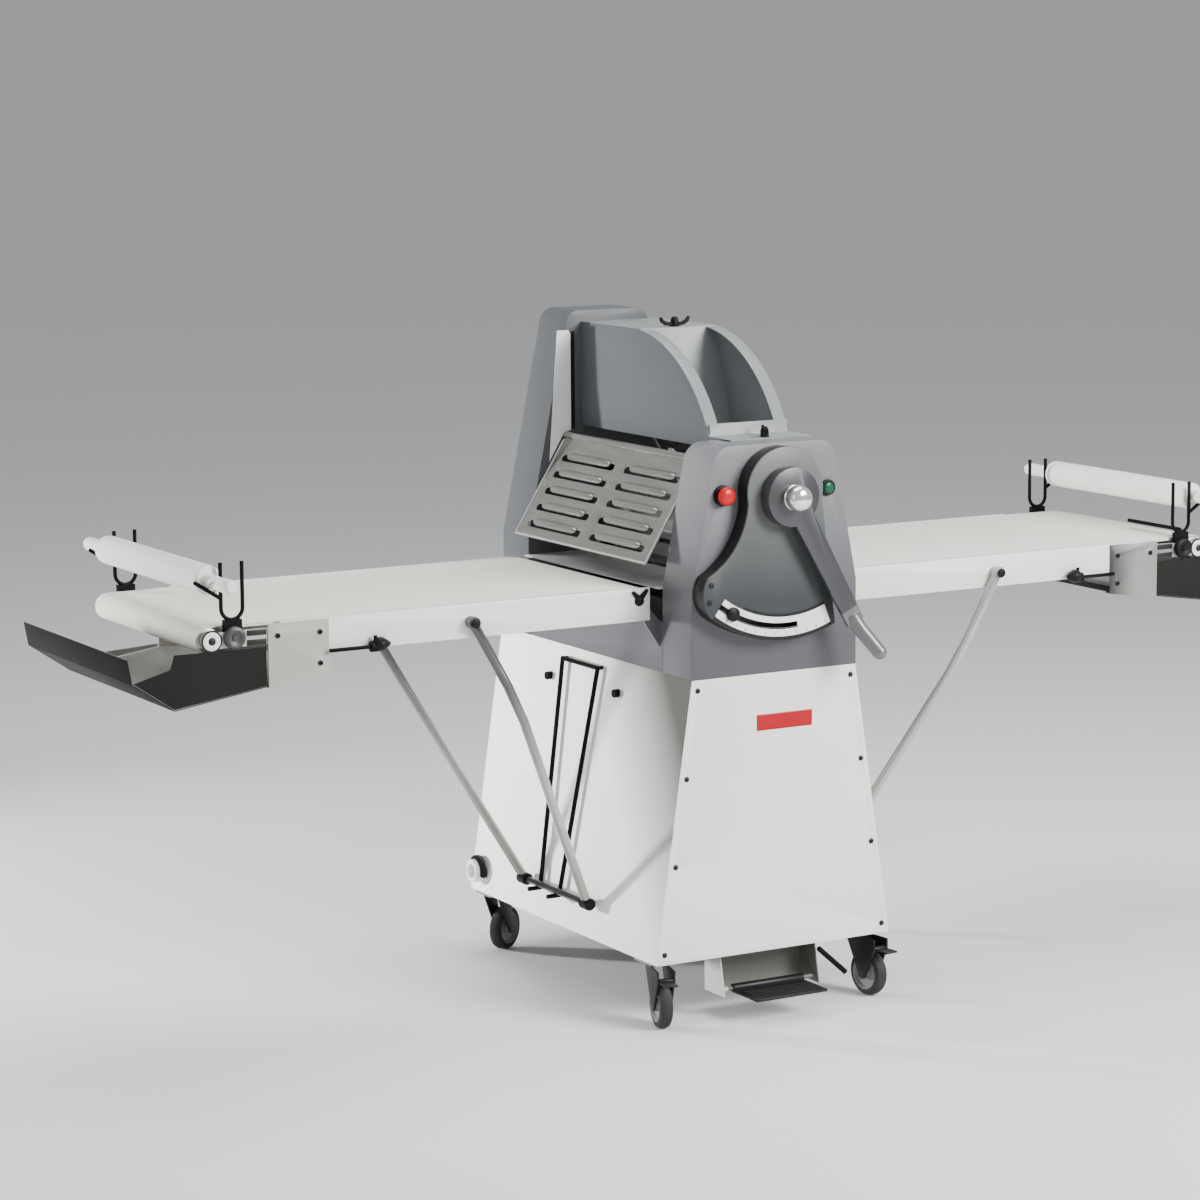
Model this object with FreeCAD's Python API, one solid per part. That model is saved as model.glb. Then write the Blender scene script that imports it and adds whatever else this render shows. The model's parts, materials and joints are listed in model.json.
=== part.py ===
import FreeCAD, Part
import math
import os

# Floor-standing dough sheeter. X runs along the tables, Y from front to back, Z up from the floor.
# All sizes are in millimetres. Each left piece is built first, and the right one is its mirror image.

# Cabinet
base_depth = 835.0
base_bottom_z = 141.0
base_top_z = 737.0
base_bottom_half = 291.0
base_top_half = 202.0
panel_t = 2.0
plate_t = 6.0
post_w = 30.0
screw_inset = 16.0
screw_margin = 22.0
screw_rows = 4
screw_head_r = 6.0
screw_head_h = 3.0
screw_shank_r = 3.0
screw_length = 14.0

# Clearances
running = 0.05
free_gap = 0.3
slide_gap = 0.5
over = 1.0
near = 0.01

# Casters
wheel_r = 50.0
wheel_w = 28.0
wheel_side_gap = 2.0
axle_r = 6.0
caster_trail = 32.0
caster_inset_x = 36.0
caster_inset_y = 60.0
caster_plate_w = 70.0
caster_plate_t = 5.0
kingpin_r = 6.0
crown_t = 6.0
crown_half = 24.0
cheek_t = 4.0
cheek_boss_r = 13.0
brake_pivot_out = 34.0
brake_pivot_up = 58.0
brake_pin_r = 3.5
brake_barrel_r = 6.5
brake_length = 44.0
brake_t = 4.0
caster_turns = {"fl": -105.0, "fr": -84.0, "bl": 30.0, "br": 150.0}

# Foot pedal
pedal_cheek_half = 120.0
pedal_cheek_t = 3.0
pedal_bracket_depth = 80.0
pedal_bracket_set_back = 10.0
pedal_bracket_drop = 92.0
pedal_rod_r = 5.0
pedal_barrel_r = 9.0
pedal_pivot_up = 12.0
pedal_pivot_in = 20.0
pedal_half = 88.0
pedal_reach = 70.0
pedal_plate_t = 6.0

# Head
bed_half = 203.0
bed_wall = 3.0
bed_height = 109.0
bed_plate_drop = 56.0
housing_wall = 4.0
front_housing_depth = 118.0
front_shoulder_z = 920.0
front_top_z = 1220.0
front_top_half = 144.0
front_corner_r = 45.0
rear_housing_depth = 135.0
rear_half = 205.0
rear_shoulder_z = 960.0
rear_top_z = 1456.0
rear_top_half = 101.0
rear_corner_r = 34.0
rear_edge_r = 22.0

# Dial, lever and buttons
hub_z = 1114.0
dial_raise = 42.0
dial_wall = 3.0
bell_top_half = 90.0
bell_top_rise = 102.0
bell_top_drop = 10.0
bell_arc_r = 303.0
bell_left_deg = 37.0
bell_right_deg = 24.0
bell_corner_x = 188.0
bell_corner_drop = 158.0
bell_waist_x = 108.0
bell_waist_drop = 76.0
bell_bulge = 15.0
slot_r = 271.0
slot_left_deg = 36.0
slot_right_deg = 6.0
slot_half = 5.0
stop_rest_deg = 29.0
stop_knob_r = 15.0
stop_knob_h = 11.0
lever_rest_deg = 29.5
lever_shaft_r = 12.5
lever_shaft_in = 26.0
hub_r = 62.0
hub_t = 31.0
hub_gap = 1.0
arm_t = 12.0
arm_root_half = 26.0
arm_tip_half = 20.0
arm_r = 316.0
grip_r = 16.0
grip_out = 40.0
grip_end_r = 386.0
cap_r = 27.0
cap_h = 40.0
button_x = 129.0
button_z = 1119.0
estop_collar_r = 22.0
estop_collar_t = 8.0
estop_r = 20.0
estop_t = 14.0
estop_stem_r = 9.0
estop_travel = 6.0
start_bezel_r = 17.0
start_bezel_t = 7.0
start_r = 12.0
start_proud = 1.0
start_travel = 3.0
button_stem_in = 12.0

# Flour bin above the rolls
bin_half = 99.0
bin_offset_x = 33.0
bin_rim = 26.0
bin_sheet = 3.0
bin_bottom_z = 1200.0
bin_top_z = 1431.0
bin_arc_r = 357.0
bin_flat_length = 220.0
bin_lip_h = 26.0
bin_back_foot = 228.0
bin_back_lean = 60.0
bin_flange_reach = 50.0
wing_stud_r = 8.0
wing_stud_h = 14.0
wing_span = 25.0
wing_t = 6.0
wing_h = 16.0

# Tables
table_front_gap = 8.0
table_back_gap = 17.0
table_top_z = 920.0
skirt_drop = 70.0
skirt_t = 3.0
skirt_inner_x = 229.0
skirt_end_in = 148.0
lip_w = 10.0
lip_t = 2.0
pivot_x = 255.0
end_roller_x = 1223.0
roller_r = 24.0
belt_t = 3.0
belt_inset = 18.0
table_bed_t = 4.0
pivot_r = 8.0
arm_plate_t = 8.0
arm_gap = 1.0
arm_boss_r = 16.0
end_axle_r = 10.0
cross_w = 30.0
cross_h = 24.0
cross_in = (883.0, 583.0, 273.0)
bracket_in = 252.0
bracket_length = 132.0
bracket_t = 3.0
bracket_flange = 14.0
bracket_top_drop = 2.0
bolt_r = 5.0
bolt_h = 2.0
arm_half = 16.0
arm_w = 12.0
arm_end_r = 20.0

# Catch trays
tray_sheet = 2.0
tray_low_out = 81.0
tray_low_drop = 159.0
tray_rise = 0.15
tray_foot_out = 170.0
tray_foot_drop = 98.0
tray_rim_out = 179.0
tray_rim_drop = 48.0
tray_side_gap = 1.0
tray_inner_lip = 14.0

# Rolling pins and their forks
wire_r = 4.0
fork_in = 47.0
fork_half = 23.0
fork_up = 12.0
fork_height = 114.0
fork_foot_half = 19.0
finger_root_up = 43.0
finger_lean_deg = 57.0
finger_length = 66.0
pin_handle_r = 15.0
pin_handle_length = 108.0
pin_barrel_r = 30.0
pin_barrel_gap = 6.0
latch_in = 361.0
latch_r = 11.0
latch_length = 22.0
latch_drop = 66.0
latch_stand = 12.0

# Struts and their rails
strut_top_x = 653.0
strut_top_drop = 37.0
strut_bend_x = 551.0
strut_bend_drop = 217.0
strut_bend_ease = 45.0
strut_foot_z = 222.0
strut_foot_front = 272.0
strut_foot_back = 552.0
strut_tube_r = 10.0
strut_eye_r = 13.0
strut_eye_t = 18.0
strut_pin_r = 6.0
strut_pin_head_r = 9.0
strut_pin_head_t = 3.0
strut_stand = 4.0
crossbar_r = 7.0
rail_r = 5.0
rail_stand = 12.0
rail_top_z = 711.0
rail_back_top = 524.0
rail_back_foot = 500.0
rail_front_top = 369.0
rail_front_foot = 415.0
rail_hook = 30.0
rail_stub_r = 4.0
knob_places = ((291.0, 668.0), (587.0, 663.0))
knob_r = 9.0
knob_h = 12.0

# Power inlet low on the left panel
inlet_back = 40.0
inlet_z = 190.0
inlet_r = 26.0
inlet_stand = 26.0
inlet_bore_r = 17.0

# Rolls, carrier and drive
roll_r = 42.0
roll_top_drop = 2.0
roll_end_gap = 6.0
journal_r = 15.0
roll_gap_open = 40.0
plate_roll_gap = 5.0
transfer_outer_x = 214.0
transfer_t = 3.0
bearing_t = 30.0
bearing_half = 45.0
bearing_up = 38.0
carrier_half = 34.0
carrier_below = 35.0
carrier_above = 88.0
carrier_wall_gap = 2.0
beam_half = 25.0
beam_h = 30.0
wall_slot_half = 30.0
wall_slot_top = 126.0
guide_t = 12.0
scraper_t = 3.0
scraper_gap = 3.0
pulley_set_back = 70.0
pulley_w = 18.0
roll_pulley_r = 70.0
motor_pulley_r = 45.0
vee_t = 5.0
vee_w = 14.0
vee_slot_gap = 12.0
motor_r = 80.0
motor_axis_up = 106.0
motor_length = 270.0
motor_start = 330.0
motor_foot_half = 70.0
motor_foot_h = 44.0
motor_shaft_r = 12.0
motor_shaft_in = 40.0

# Guards over the rolls
guard_top_x = 109.0
guard_top_z = 1180.0
guard_low_x = 240.0
guard_low_up = 50.0
guard_t = 2.5
guard_side_gap = 5.0
guard_rod_r = 4.0
guard_barrel_r = 8.0
guard_slot_rows = 5
guard_slot_w = 16.0
guard_slot_columns = 2
guard_slot_margin = 34.0
guard_row_start = 54.0
guard_row_step = 41.0
guard_slot_bridge = 44.0

# Places that follow from the sizes above
lever_reach = dial_raise + hub_gap + hub_t - arm_t / 2 + grip_out + grip_r
front = -(base_depth + screw_head_h - lever_reach) / 2
back = front + base_depth
housing_back = front + front_housing_depth
rear_face = back - rear_housing_depth
table_front = housing_back + table_front_gap
table_back = rear_face - table_back_gap
table_middle = (table_front + table_back) / 2
roller_z = table_top_z - belt_t - free_gap - roller_r
belt_outer_r = roller_r + free_gap + belt_t
skirt_bottom_z = table_top_z - skirt_drop
skirt_outer_x = end_roller_x - skirt_end_in
bracket_inner_x = end_roller_x - bracket_in
bracket_outer_x = bracket_inner_x + bracket_length
fork_x = end_roller_x - fork_in
fork_bottom_z = table_top_z + fork_up
fork_top_z = fork_bottom_z + fork_height
finger_root_z = fork_bottom_z + finger_root_up
latch_x = end_roller_x - latch_in
tray_low_x = end_roller_x + tray_low_out
tray_low_z = table_top_z - tray_low_drop
tray_foot_x = end_roller_x + tray_foot_out
tray_foot_z = table_top_z - tray_foot_drop
tray_rim_x = end_roller_x + tray_rim_out
tray_rim_z = table_top_z - tray_rim_drop
strut_top_z = table_top_z - strut_top_drop
strut_bend_z = table_top_z - strut_bend_drop
guard_low_z = table_top_z + guard_low_up
bin_lip_z = front_top_z + bin_sheet
belt_front = table_front + belt_inset
belt_back = table_back - belt_inset
roll_z = table_top_z - roll_top_drop - roll_r
upper_z = roll_z + 2 * roll_r + roll_gap_open
pulley_y = rear_face + pulley_set_back
motor_z = base_bottom_z + motor_axis_up
dial_face = front - dial_raise
screw_step = (base_top_z - base_bottom_z - 2 * screw_margin) / (screw_rows - 1)

X_AXIS = FreeCAD.Vector(1, 0, 0)
Y_AXIS = FreeCAD.Vector(0, 1, 0)
Z_AXIS = FreeCAD.Vector(0, 0, 1)


def vec(x, y, z):
    return FreeCAD.Vector(x, y, z)


def box(x0, x1, y0, y1, z0, z1):
    return Part.makeBox(x1 - x0, y1 - y0, z1 - z0, vec(x0, y0, z0))


def rod_y(x, z, r, y0, y1):
    return Part.makeCylinder(r, y1 - y0, vec(x, y0, z), Y_AXIS)


def rod_z(x, y, r, z0, z1):
    return Part.makeCylinder(r, z1 - z0, vec(x, y, z0), Z_AXIS)


def rod_x(y, z, r, x0, x1):
    return Part.makeCylinder(r, x1 - x0, vec(x0, y, z), X_AXIS)


def prism_y(points, y0, y1):
    """Prism of a polygon in XZ, from y0 to y1."""
    corners = [vec(x, y0, z) for x, z in points]
    wire = Part.makePolygon(corners + corners[:1])
    return Part.Face(wire).extrude(vec(0, y1 - y0, 0))


def prism_x(points, x0, x1):
    """Prism of a polygon in YZ, from x0 to x1."""
    corners = [vec(x0, y, z) for y, z in points]
    wire = Part.makePolygon(corners + corners[:1])
    return Part.Face(wire).extrude(vec(x1 - x0, 0, 0))


def fuse(shapes):
    """One solid from touching or crossing shapes."""
    whole = shapes[0]
    if len(shapes) > 1:
        whole = whole.fuse(shapes[1:])
    return whole.removeSplitter()


def bent_rod(points, r):
    """Round rod through the points, with a ball at each bend."""
    pieces = []
    for a, b in zip(points, points[1:]):
        pieces.append(Part.makeCylinder(r, (b - a).Length, a, b - a))
    for p in points[1:-1]:
        pieces.append(Part.makeSphere(r, p))
    return fuse(pieces)


def loop_y(xa, za, ra, xb, zb, rb, y0, y1):
    """Solid that a band round two wheels encloses, with axes along Y."""
    span = vec(xb - xa, 0, zb - za)
    along = vec(span.x, 0, span.z).normalize()
    across = vec(-along.z, 0, along.x)
    lean = (ra - rb) / span.Length
    flat = math.sqrt(1 - lean * lean)
    corners = []
    first = (xa, za, ra)
    second = (xb, zb, rb)
    for side, (x, z, r) in ((1, first), (1, second), (-1, second), (-1, first)):
        corners.append((x + r * (lean * along.x + side * flat * across.x),
                        z + r * (lean * along.z + side * flat * across.z)))
    return fuse([prism_y(corners, y0, y1), rod_y(xa, za, ra, y0, y1), rod_y(xb, zb, rb, y0, y1)])


def mirror_x(shape):
    return shape.mirror(vec(0, 0, 0), X_AXIS)


def mirror_table(shape):
    """Mirror across the table's middle, from its front edge to its back edge."""
    return shape.mirror(vec(0, table_middle, 0), Y_AXIS)


def base_half(z):
    """Half-width of the tapered cabinet at height z."""
    share = (base_top_z - z) / (base_top_z - base_bottom_z)
    return base_top_half + (base_bottom_half - base_top_half) * share


def save(name, *shapes):
    solids = []
    for shape in shapes:
        solids.extend(shape.Solids)
    whole = solids[0] if len(solids) == 1 else Part.makeCompound(solids)
    whole.exportStep("parts/%s.step" % name)


def save_pair(name, *shapes):
    save("left_" + name, *shapes)
    save("right_" + name, *[mirror_x(shape) for shape in shapes])


def slab(z0, z1, y0, y1, inset):
    """Cross-section of the cabinet between two heights, drawn in by inset."""
    lower = base_half(z0) - inset
    upper = base_half(z1) - inset
    return prism_y([(-lower, z0), (lower, z0), (upper, z1), (-upper, z1)], y0, y1)


def screw_places():
    """Screws down both edges of the front and back panels: x, z."""
    for row in range(screw_rows):
        z = base_bottom_z + screw_margin + row * screw_step
        for side in (-1, 1):
            yield side * (base_half(z) - screw_inset), z


def panel_shanks(clearance):
    shanks = []
    for x, z in screw_places():
        r = screw_shank_r + clearance
        shanks.append(rod_y(x, z, r, front, front + screw_length + clearance))
        shanks.append(rod_y(x, z, r, back - screw_length - clearance, back))
    return shanks


def caster_places():
    x = base_bottom_half - caster_inset_x
    for name in ("fl", "fr", "bl", "br"):
        side = -1 if name[1] == "l" else 1
        y = front + caster_inset_y if name[0] == "f" else back - caster_inset_y
        yield name, side * x, y


def belt_slot(z0, z1):
    """Opening that the drive belt passes through."""
    slot_x = roll_pulley_r + vee_t + vee_slot_gap
    slot_y = vee_w / 2 + vee_slot_gap
    return box(-slot_x, slot_x, pulley_y - slot_y, pulley_y + slot_y, z0, z1)


def build_cabinet():
    y0 = front + panel_t
    y1 = back - panel_t
    low = base_bottom_z + plate_t
    high = base_top_z - plate_t
    pieces = [slab(base_bottom_z, low, y0, y1, panel_t), slab(high, base_top_z, y0, y1, panel_t)]
    for side in (-1, 1):
        outer_low = side * (base_half(low) - panel_t)
        outer_high = side * (base_half(high) - panel_t)
        leg = [(outer_low, low), (outer_high, high),
               (outer_high - side * post_w, high), (outer_low - side * post_w, low)]
        pieces.append(prism_y(leg, y0, y0 + post_w))
        pieces.append(prism_y(leg, y1 - post_w, y1))
    for name, x, y in caster_places():
        half = caster_plate_w / 2
        under = base_bottom_z - caster_plate_t
        pieces.append(box(x - half, x + half, y - half, y + half, under, base_bottom_z))
        pieces.append(rod_z(x, y, kingpin_r, under - crown_t - free_gap, under))
    frame = fuse(pieces).cut(panel_shanks(running))
    save("base_frame", frame.cut(belt_slot(high - over, base_top_z + over)))
    holes = panel_shanks(running)
    save("base_front_panel", slab(base_bottom_z, base_top_z, front, y0, 0).cut(holes))
    save("base_back_panel", slab(base_bottom_z, base_top_z, y1, back, 0).cut(holes))
    left = side_panel(panel_t)
    save("base_side_panels", left, mirror_x(left))
    screws = []
    for x, z in screw_places():
        screws.append(fuse([rod_y(x, z, screw_head_r, front - screw_head_h, front),
                            rod_y(x, z, screw_shank_r, front, front + screw_length)]))
        screws.append(fuse([rod_y(x, z, screw_head_r, back, back + screw_head_h),
                            rod_y(x, z, screw_shank_r, back - screw_length, back)]))
    save("panel_screws", *screws)


def side_panel(thickness):
    """Left side of the cabinet from its outer face inwards."""
    low = base_half(base_bottom_z)
    high = base_half(base_top_z)
    outline = [(-low, base_bottom_z), (-high, base_top_z), (thickness - high, base_top_z),
               (thickness - low, base_bottom_z)]
    return prism_y(outline, front + panel_t, back - panel_t)


def build_casters():
    crown_top = base_bottom_z - caster_plate_t - free_gap
    crown_low = crown_top - crown_t
    inner = wheel_w / 2 + wheel_side_gap
    pivot_u = caster_trail + brake_pivot_out
    pivot_z = wheel_r + brake_pivot_up
    for name, x, y in caster_places():
        braked = name[0] == "f"
        cheek_outline = [(-crown_half, crown_low), (caster_trail - cheek_boss_r, wheel_r),
                         (caster_trail + cheek_boss_r, wheel_r)]
        if braked:
            cheek_outline.append((pivot_u + brake_barrel_r, pivot_z))
            cheek_outline.append((pivot_u + brake_barrel_r, crown_low))
        cheek_outline.append((crown_half, crown_low))
        cheek = fuse([prism_y(cheek_outline, inner, inner + cheek_t),
                      rod_y(caster_trail, wheel_r, cheek_boss_r, inner, inner + cheek_t)])
        other = cheek.mirror(vec(0, 0, 0), Y_AXIS)
        side = inner + cheek_t
        crown = box(-crown_half, crown_half, -side, side, crown_low, crown_top)
        pieces = [crown, cheek, other, rod_y(caster_trail, wheel_r, axle_r, -side, side)]
        if braked:
            pieces.append(rod_y(pivot_u, pivot_z, brake_pin_r, -side, side))
        fork = fuse(pieces).cut(rod_z(0, 0, kingpin_r + running, crown_low - over, crown_top + over))
        wheel = rod_y(caster_trail, wheel_r, wheel_r, -wheel_w / 2, wheel_w / 2)
        wheel = wheel.cut(rod_y(caster_trail, wheel_r, axle_r + running, -wheel_w, wheel_w))
        made = {"caster_fork_" + name: fork, "caster_wheel_" + name: wheel}
        if braked:
            half = inner - wheel_side_gap / 2
            barrel = rod_y(pivot_u, pivot_z, brake_barrel_r, -half, half)
            tread = box(pivot_u, pivot_u + brake_length, -half, half, pivot_z - brake_t / 2,
                        pivot_z + brake_t / 2)
            lever = fuse([barrel, tread])
            lever = lever.cut(rod_y(pivot_u, pivot_z, brake_pin_r + running, -side, side))
            made["brake_lever_" + name] = lever
        for node, shape in made.items():
            placed = shape.copy()
            placed.rotate(vec(0, 0, 0), Z_AXIS, caster_turns[name])
            placed.translate(vec(x, y, 0))
            save(node, placed)


def build_pedal():
    y0 = front + pedal_bracket_set_back
    y1 = y0 + pedal_bracket_depth
    low = base_bottom_z - pedal_bracket_drop
    pivot_y = y0 + pedal_pivot_in
    pivot_z = low + pedal_pivot_up
    inner = pedal_cheek_half - pedal_cheek_t
    cheek = [(y0, low), (y1, low), (y1, base_bottom_z), (y0 + pedal_pivot_in, base_bottom_z)]
    pieces = [prism_x(cheek, -pedal_cheek_half, -inner), prism_x(cheek, inner, pedal_cheek_half),
              box(-inner, inner, y1 - pedal_cheek_t, y1, low, base_bottom_z),
              rod_x(pivot_y, pivot_z, pedal_rod_r, -inner, inner)]
    save("pedal_bracket", fuse(pieces))
    barrel = rod_x(pivot_y, pivot_z, pedal_barrel_r, -pedal_half, pedal_half)
    tread_z = pivot_z - pedal_barrel_r
    tread = box(-pedal_half, pedal_half, front - pedal_reach, pivot_y, tread_z, tread_z + pedal_plate_t)
    pedal = fuse([barrel, tread])
    bore = rod_x(pivot_y, pivot_z, pedal_rod_r + running, -pedal_half - over, pedal_half + over)
    save("pedal", pedal.cut(bore))


def build_side_fittings():
    """Strut rails and knobs on both side panels, and the power inlet on the left one."""
    panel = side_panel(base_top_half)

    def on_panel(y, z, stand):
        return vec(-base_half(z) - stand, front + y, z)

    hook_z = strut_foot_z - crossbar_r - rail_r - slide_gap
    rear_foot = on_panel(rail_back_foot, hook_z, rail_stand)
    front_foot = on_panel(rail_front_foot, hook_z, rail_stand)
    route = [rear_foot + vec(-rail_hook, 0, 0), rear_foot, on_panel(rail_back_top, rail_top_z, rail_stand),
             on_panel(rail_front_top, rail_top_z, rail_stand), front_foot, front_foot + vec(-rail_hook, 0, 0)]
    pieces = [bent_rod(route, rail_r)]
    for place in (rear_foot, front_foot, route[2], route[3]):
        pieces.append(Part.makeCylinder(rail_stub_r, rail_stand + panel_t, place, X_AXIS))
    rails = [fuse(pieces).cut(panel)]
    for y, z in knob_places:
        root = on_panel(y, z, knob_h)
        rails.append(Part.makeCylinder(knob_r, knob_h + panel_t, root, X_AXIS).cut(panel))
    rails.extend([mirror_x(rail) for rail in list(rails)])
    save("strut_rails", *rails)
    root = vec(-base_half(inlet_z) - inlet_stand, back - inlet_back, inlet_z)
    inlet = Part.makeCylinder(inlet_r, inlet_stand + panel_t, root, X_AXIS)
    inlet = inlet.cut(Part.makeCylinder(inlet_bore_r, inlet_stand / 2, root, X_AXIS))
    save("power_inlet", inlet.cut(panel))


def housing(outline, corner_r, edge_r, y0, y1):
    """Closed block with a flat top, rounded top corners and a rounded rim at its back."""
    top = max(z for x, z in outline)
    floor = min(z for x, z in outline)
    block = prism_y(outline, y0, y1)
    corners = []
    for edge in block.Edges:
        ends = [v.Point for v in edge.Vertexes]
        if all(abs(p.z - top) < near for p in ends) and abs(ends[0].x - ends[1].x) < near:
            corners.append(edge)
    block = block.makeFillet(corner_r, corners)
    if edge_r == 0:
        return block
    rim = []
    for edge in block.Edges:
        ends = [v.Point for v in edge.Vertexes]
        if all(abs(p.y - y1) < near for p in ends) and not all(abs(p.z - floor) < near for p in ends):
            rim.append(edge)
    return block.makeFillet(edge_r, rim)


def inner_outline(outline):
    """The outline drawn in by the thickness of the housing's wall."""
    face = Part.Face(Part.makePolygon([vec(x, 0, z) for x, z in outline + outline[:1]]))
    drawn_in = face.makeOffset2D(-housing_wall)
    return [(v.Point.x, v.Point.z) for v in drawn_in.OuterWire.OrderedVertexes]


def shell_of(outline, corner_r, edge_r, y0, y1):
    """Hollow housing of even wall thickness."""
    inside_edge = max(edge_r - housing_wall, 0)
    cavity = housing(inner_outline(outline), corner_r - housing_wall, inside_edge, y0 + housing_wall,
                     y1 - housing_wall)
    return housing(outline, corner_r, edge_r, y0, y1).cut(cavity)


def wall_slot(y0, y1):
    """Tall slot in an inner wall for the roll ends and the carrier beam."""
    return box(-wall_slot_half, wall_slot_half, y0, y1, roll_z - wall_slot_half, upper_z + wall_slot_top)


def build_head():
    floor_z = base_top_z
    wall_top = floor_z + bed_height
    plate_z = wall_top - bed_plate_drop
    bed = [box(-bed_half, bed_wall - bed_half, housing_back, rear_face, floor_z, wall_top),
           box(bed_half - bed_wall, bed_half, housing_back, rear_face, floor_z, wall_top),
           box(bed_wall - bed_half, bed_half - bed_wall, housing_back, rear_face,
               plate_z, plate_z + bed_wall)]
    arm_y = table_front + skirt_t + arm_gap
    outline = [(-bed_half, plate_z), (-bed_half, wall_top),
               (-pivot_x, roller_z + arm_boss_r), (-pivot_x - arm_boss_r, roller_z)]
    arm = fuse([prism_y(outline, arm_y, arm_y + arm_plate_t),
                rod_y(-pivot_x, roller_z, arm_boss_r, arm_y, arm_y + arm_plate_t)])
    axle = rod_y(-pivot_x, roller_z, pivot_r, table_front - skirt_t, table_back + skirt_t)
    left = [arm, mirror_table(arm), axle]
    bed.extend(left + [mirror_x(shape) for shape in left])
    guard_rod = rod_y(-guard_top_x, guard_top_z, guard_rod_r, housing_back, rear_face)
    save("head_bed", fuse(bed), guard_rod, mirror_x(guard_rod))

    outline = [(-bed_half, floor_z), (bed_half, floor_z), (bed_half, front_shoulder_z),
               (front_top_half, front_top_z), (-front_top_half, front_top_z), (-bed_half, front_shoulder_z)]
    wall_in = front - over
    wall_out = front + housing_wall + over
    shell = shell_of(outline, front_corner_r, 0, front, housing_back)
    shell = shell.cut([wall_slot(housing_back - housing_wall - over, housing_back + over),
                       rod_y(0, hub_z, lever_shaft_r + running, wall_in, wall_out),
                       rod_y(-button_x, button_z, estop_stem_r + free_gap, wall_in, wall_out),
                       rod_y(button_x, button_z, start_r + free_gap, wall_in, wall_out)])
    save("front_housing", shell)

    outline = [(-rear_half, floor_z), (rear_half, floor_z), (rear_half, rear_shoulder_z),
               (rear_top_half, rear_top_z), (-rear_top_half, rear_top_z), (-rear_half, rear_shoulder_z)]
    shell = shell_of(outline, rear_corner_r, rear_edge_r, rear_face, back)
    floor_slot = belt_slot(floor_z - over, floor_z + housing_wall + over)
    roll_slot = wall_slot(rear_face - over, rear_face + housing_wall + over)
    save("rear_housing", shell.cut([floor_slot, roll_slot]))


def dial_point(r, deg):
    """Point on the dial: radius from the hub and angle to the right of straight down."""
    angle = math.radians(deg)
    return r * math.sin(angle), hub_z - r * math.cos(angle)


def ring_sector(r0, r1, deg0, deg1, y0, y1):
    def at(r, deg):
        x, z = dial_point(r, deg)
        return vec(x, y0, z)

    middle = (deg0 + deg1) / 2
    edges = [Part.Arc(at(r1, deg0), at(r1, middle), at(r1, deg1)).toShape(),
             Part.LineSegment(at(r1, deg1), at(r0, deg1)).toShape(),
             Part.Arc(at(r0, deg1), at(r0, middle), at(r0, deg0)).toShape(),
             Part.LineSegment(at(r0, deg0), at(r1, deg0)).toShape()]
    return Part.Face(Part.Wire(edges)).extrude(vec(0, y1 - y0, 0))


def bell_face(y):
    """Outline of the dial: round top, hollow left side, round foot and straight right side."""
    def at(x, z):
        return vec(x, y, z)

    left_x, left_z = dial_point(bell_arc_r, -bell_left_deg)
    right_x, right_z = dial_point(bell_arc_r, bell_right_deg)
    side_z = hub_z - bell_top_drop
    corner_z = hub_z - bell_corner_drop
    top = [at(-bell_top_half, side_z), at(0, hub_z + bell_top_rise), at(bell_top_half, side_z)]
    corner = at(-bell_corner_x, corner_z)
    bulge = at((left_x - bell_corner_x) / 2 - bell_bulge, (left_z + corner_z) / 2)
    left_foot = at(left_x, left_z)
    right_foot = at(right_x, right_z)
    edges = [Part.Arc(*top).toShape(),
             Part.LineSegment(top[2], right_foot).toShape(),
             Part.Arc(right_foot, at(0, hub_z - bell_arc_r), left_foot).toShape(),
             Part.Arc(left_foot, bulge, corner).toShape(),
             Part.Arc(corner, at(-bell_waist_x, hub_z - bell_waist_drop), top[0]).toShape()]
    return Part.Face(Part.Wire(edges))


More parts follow.
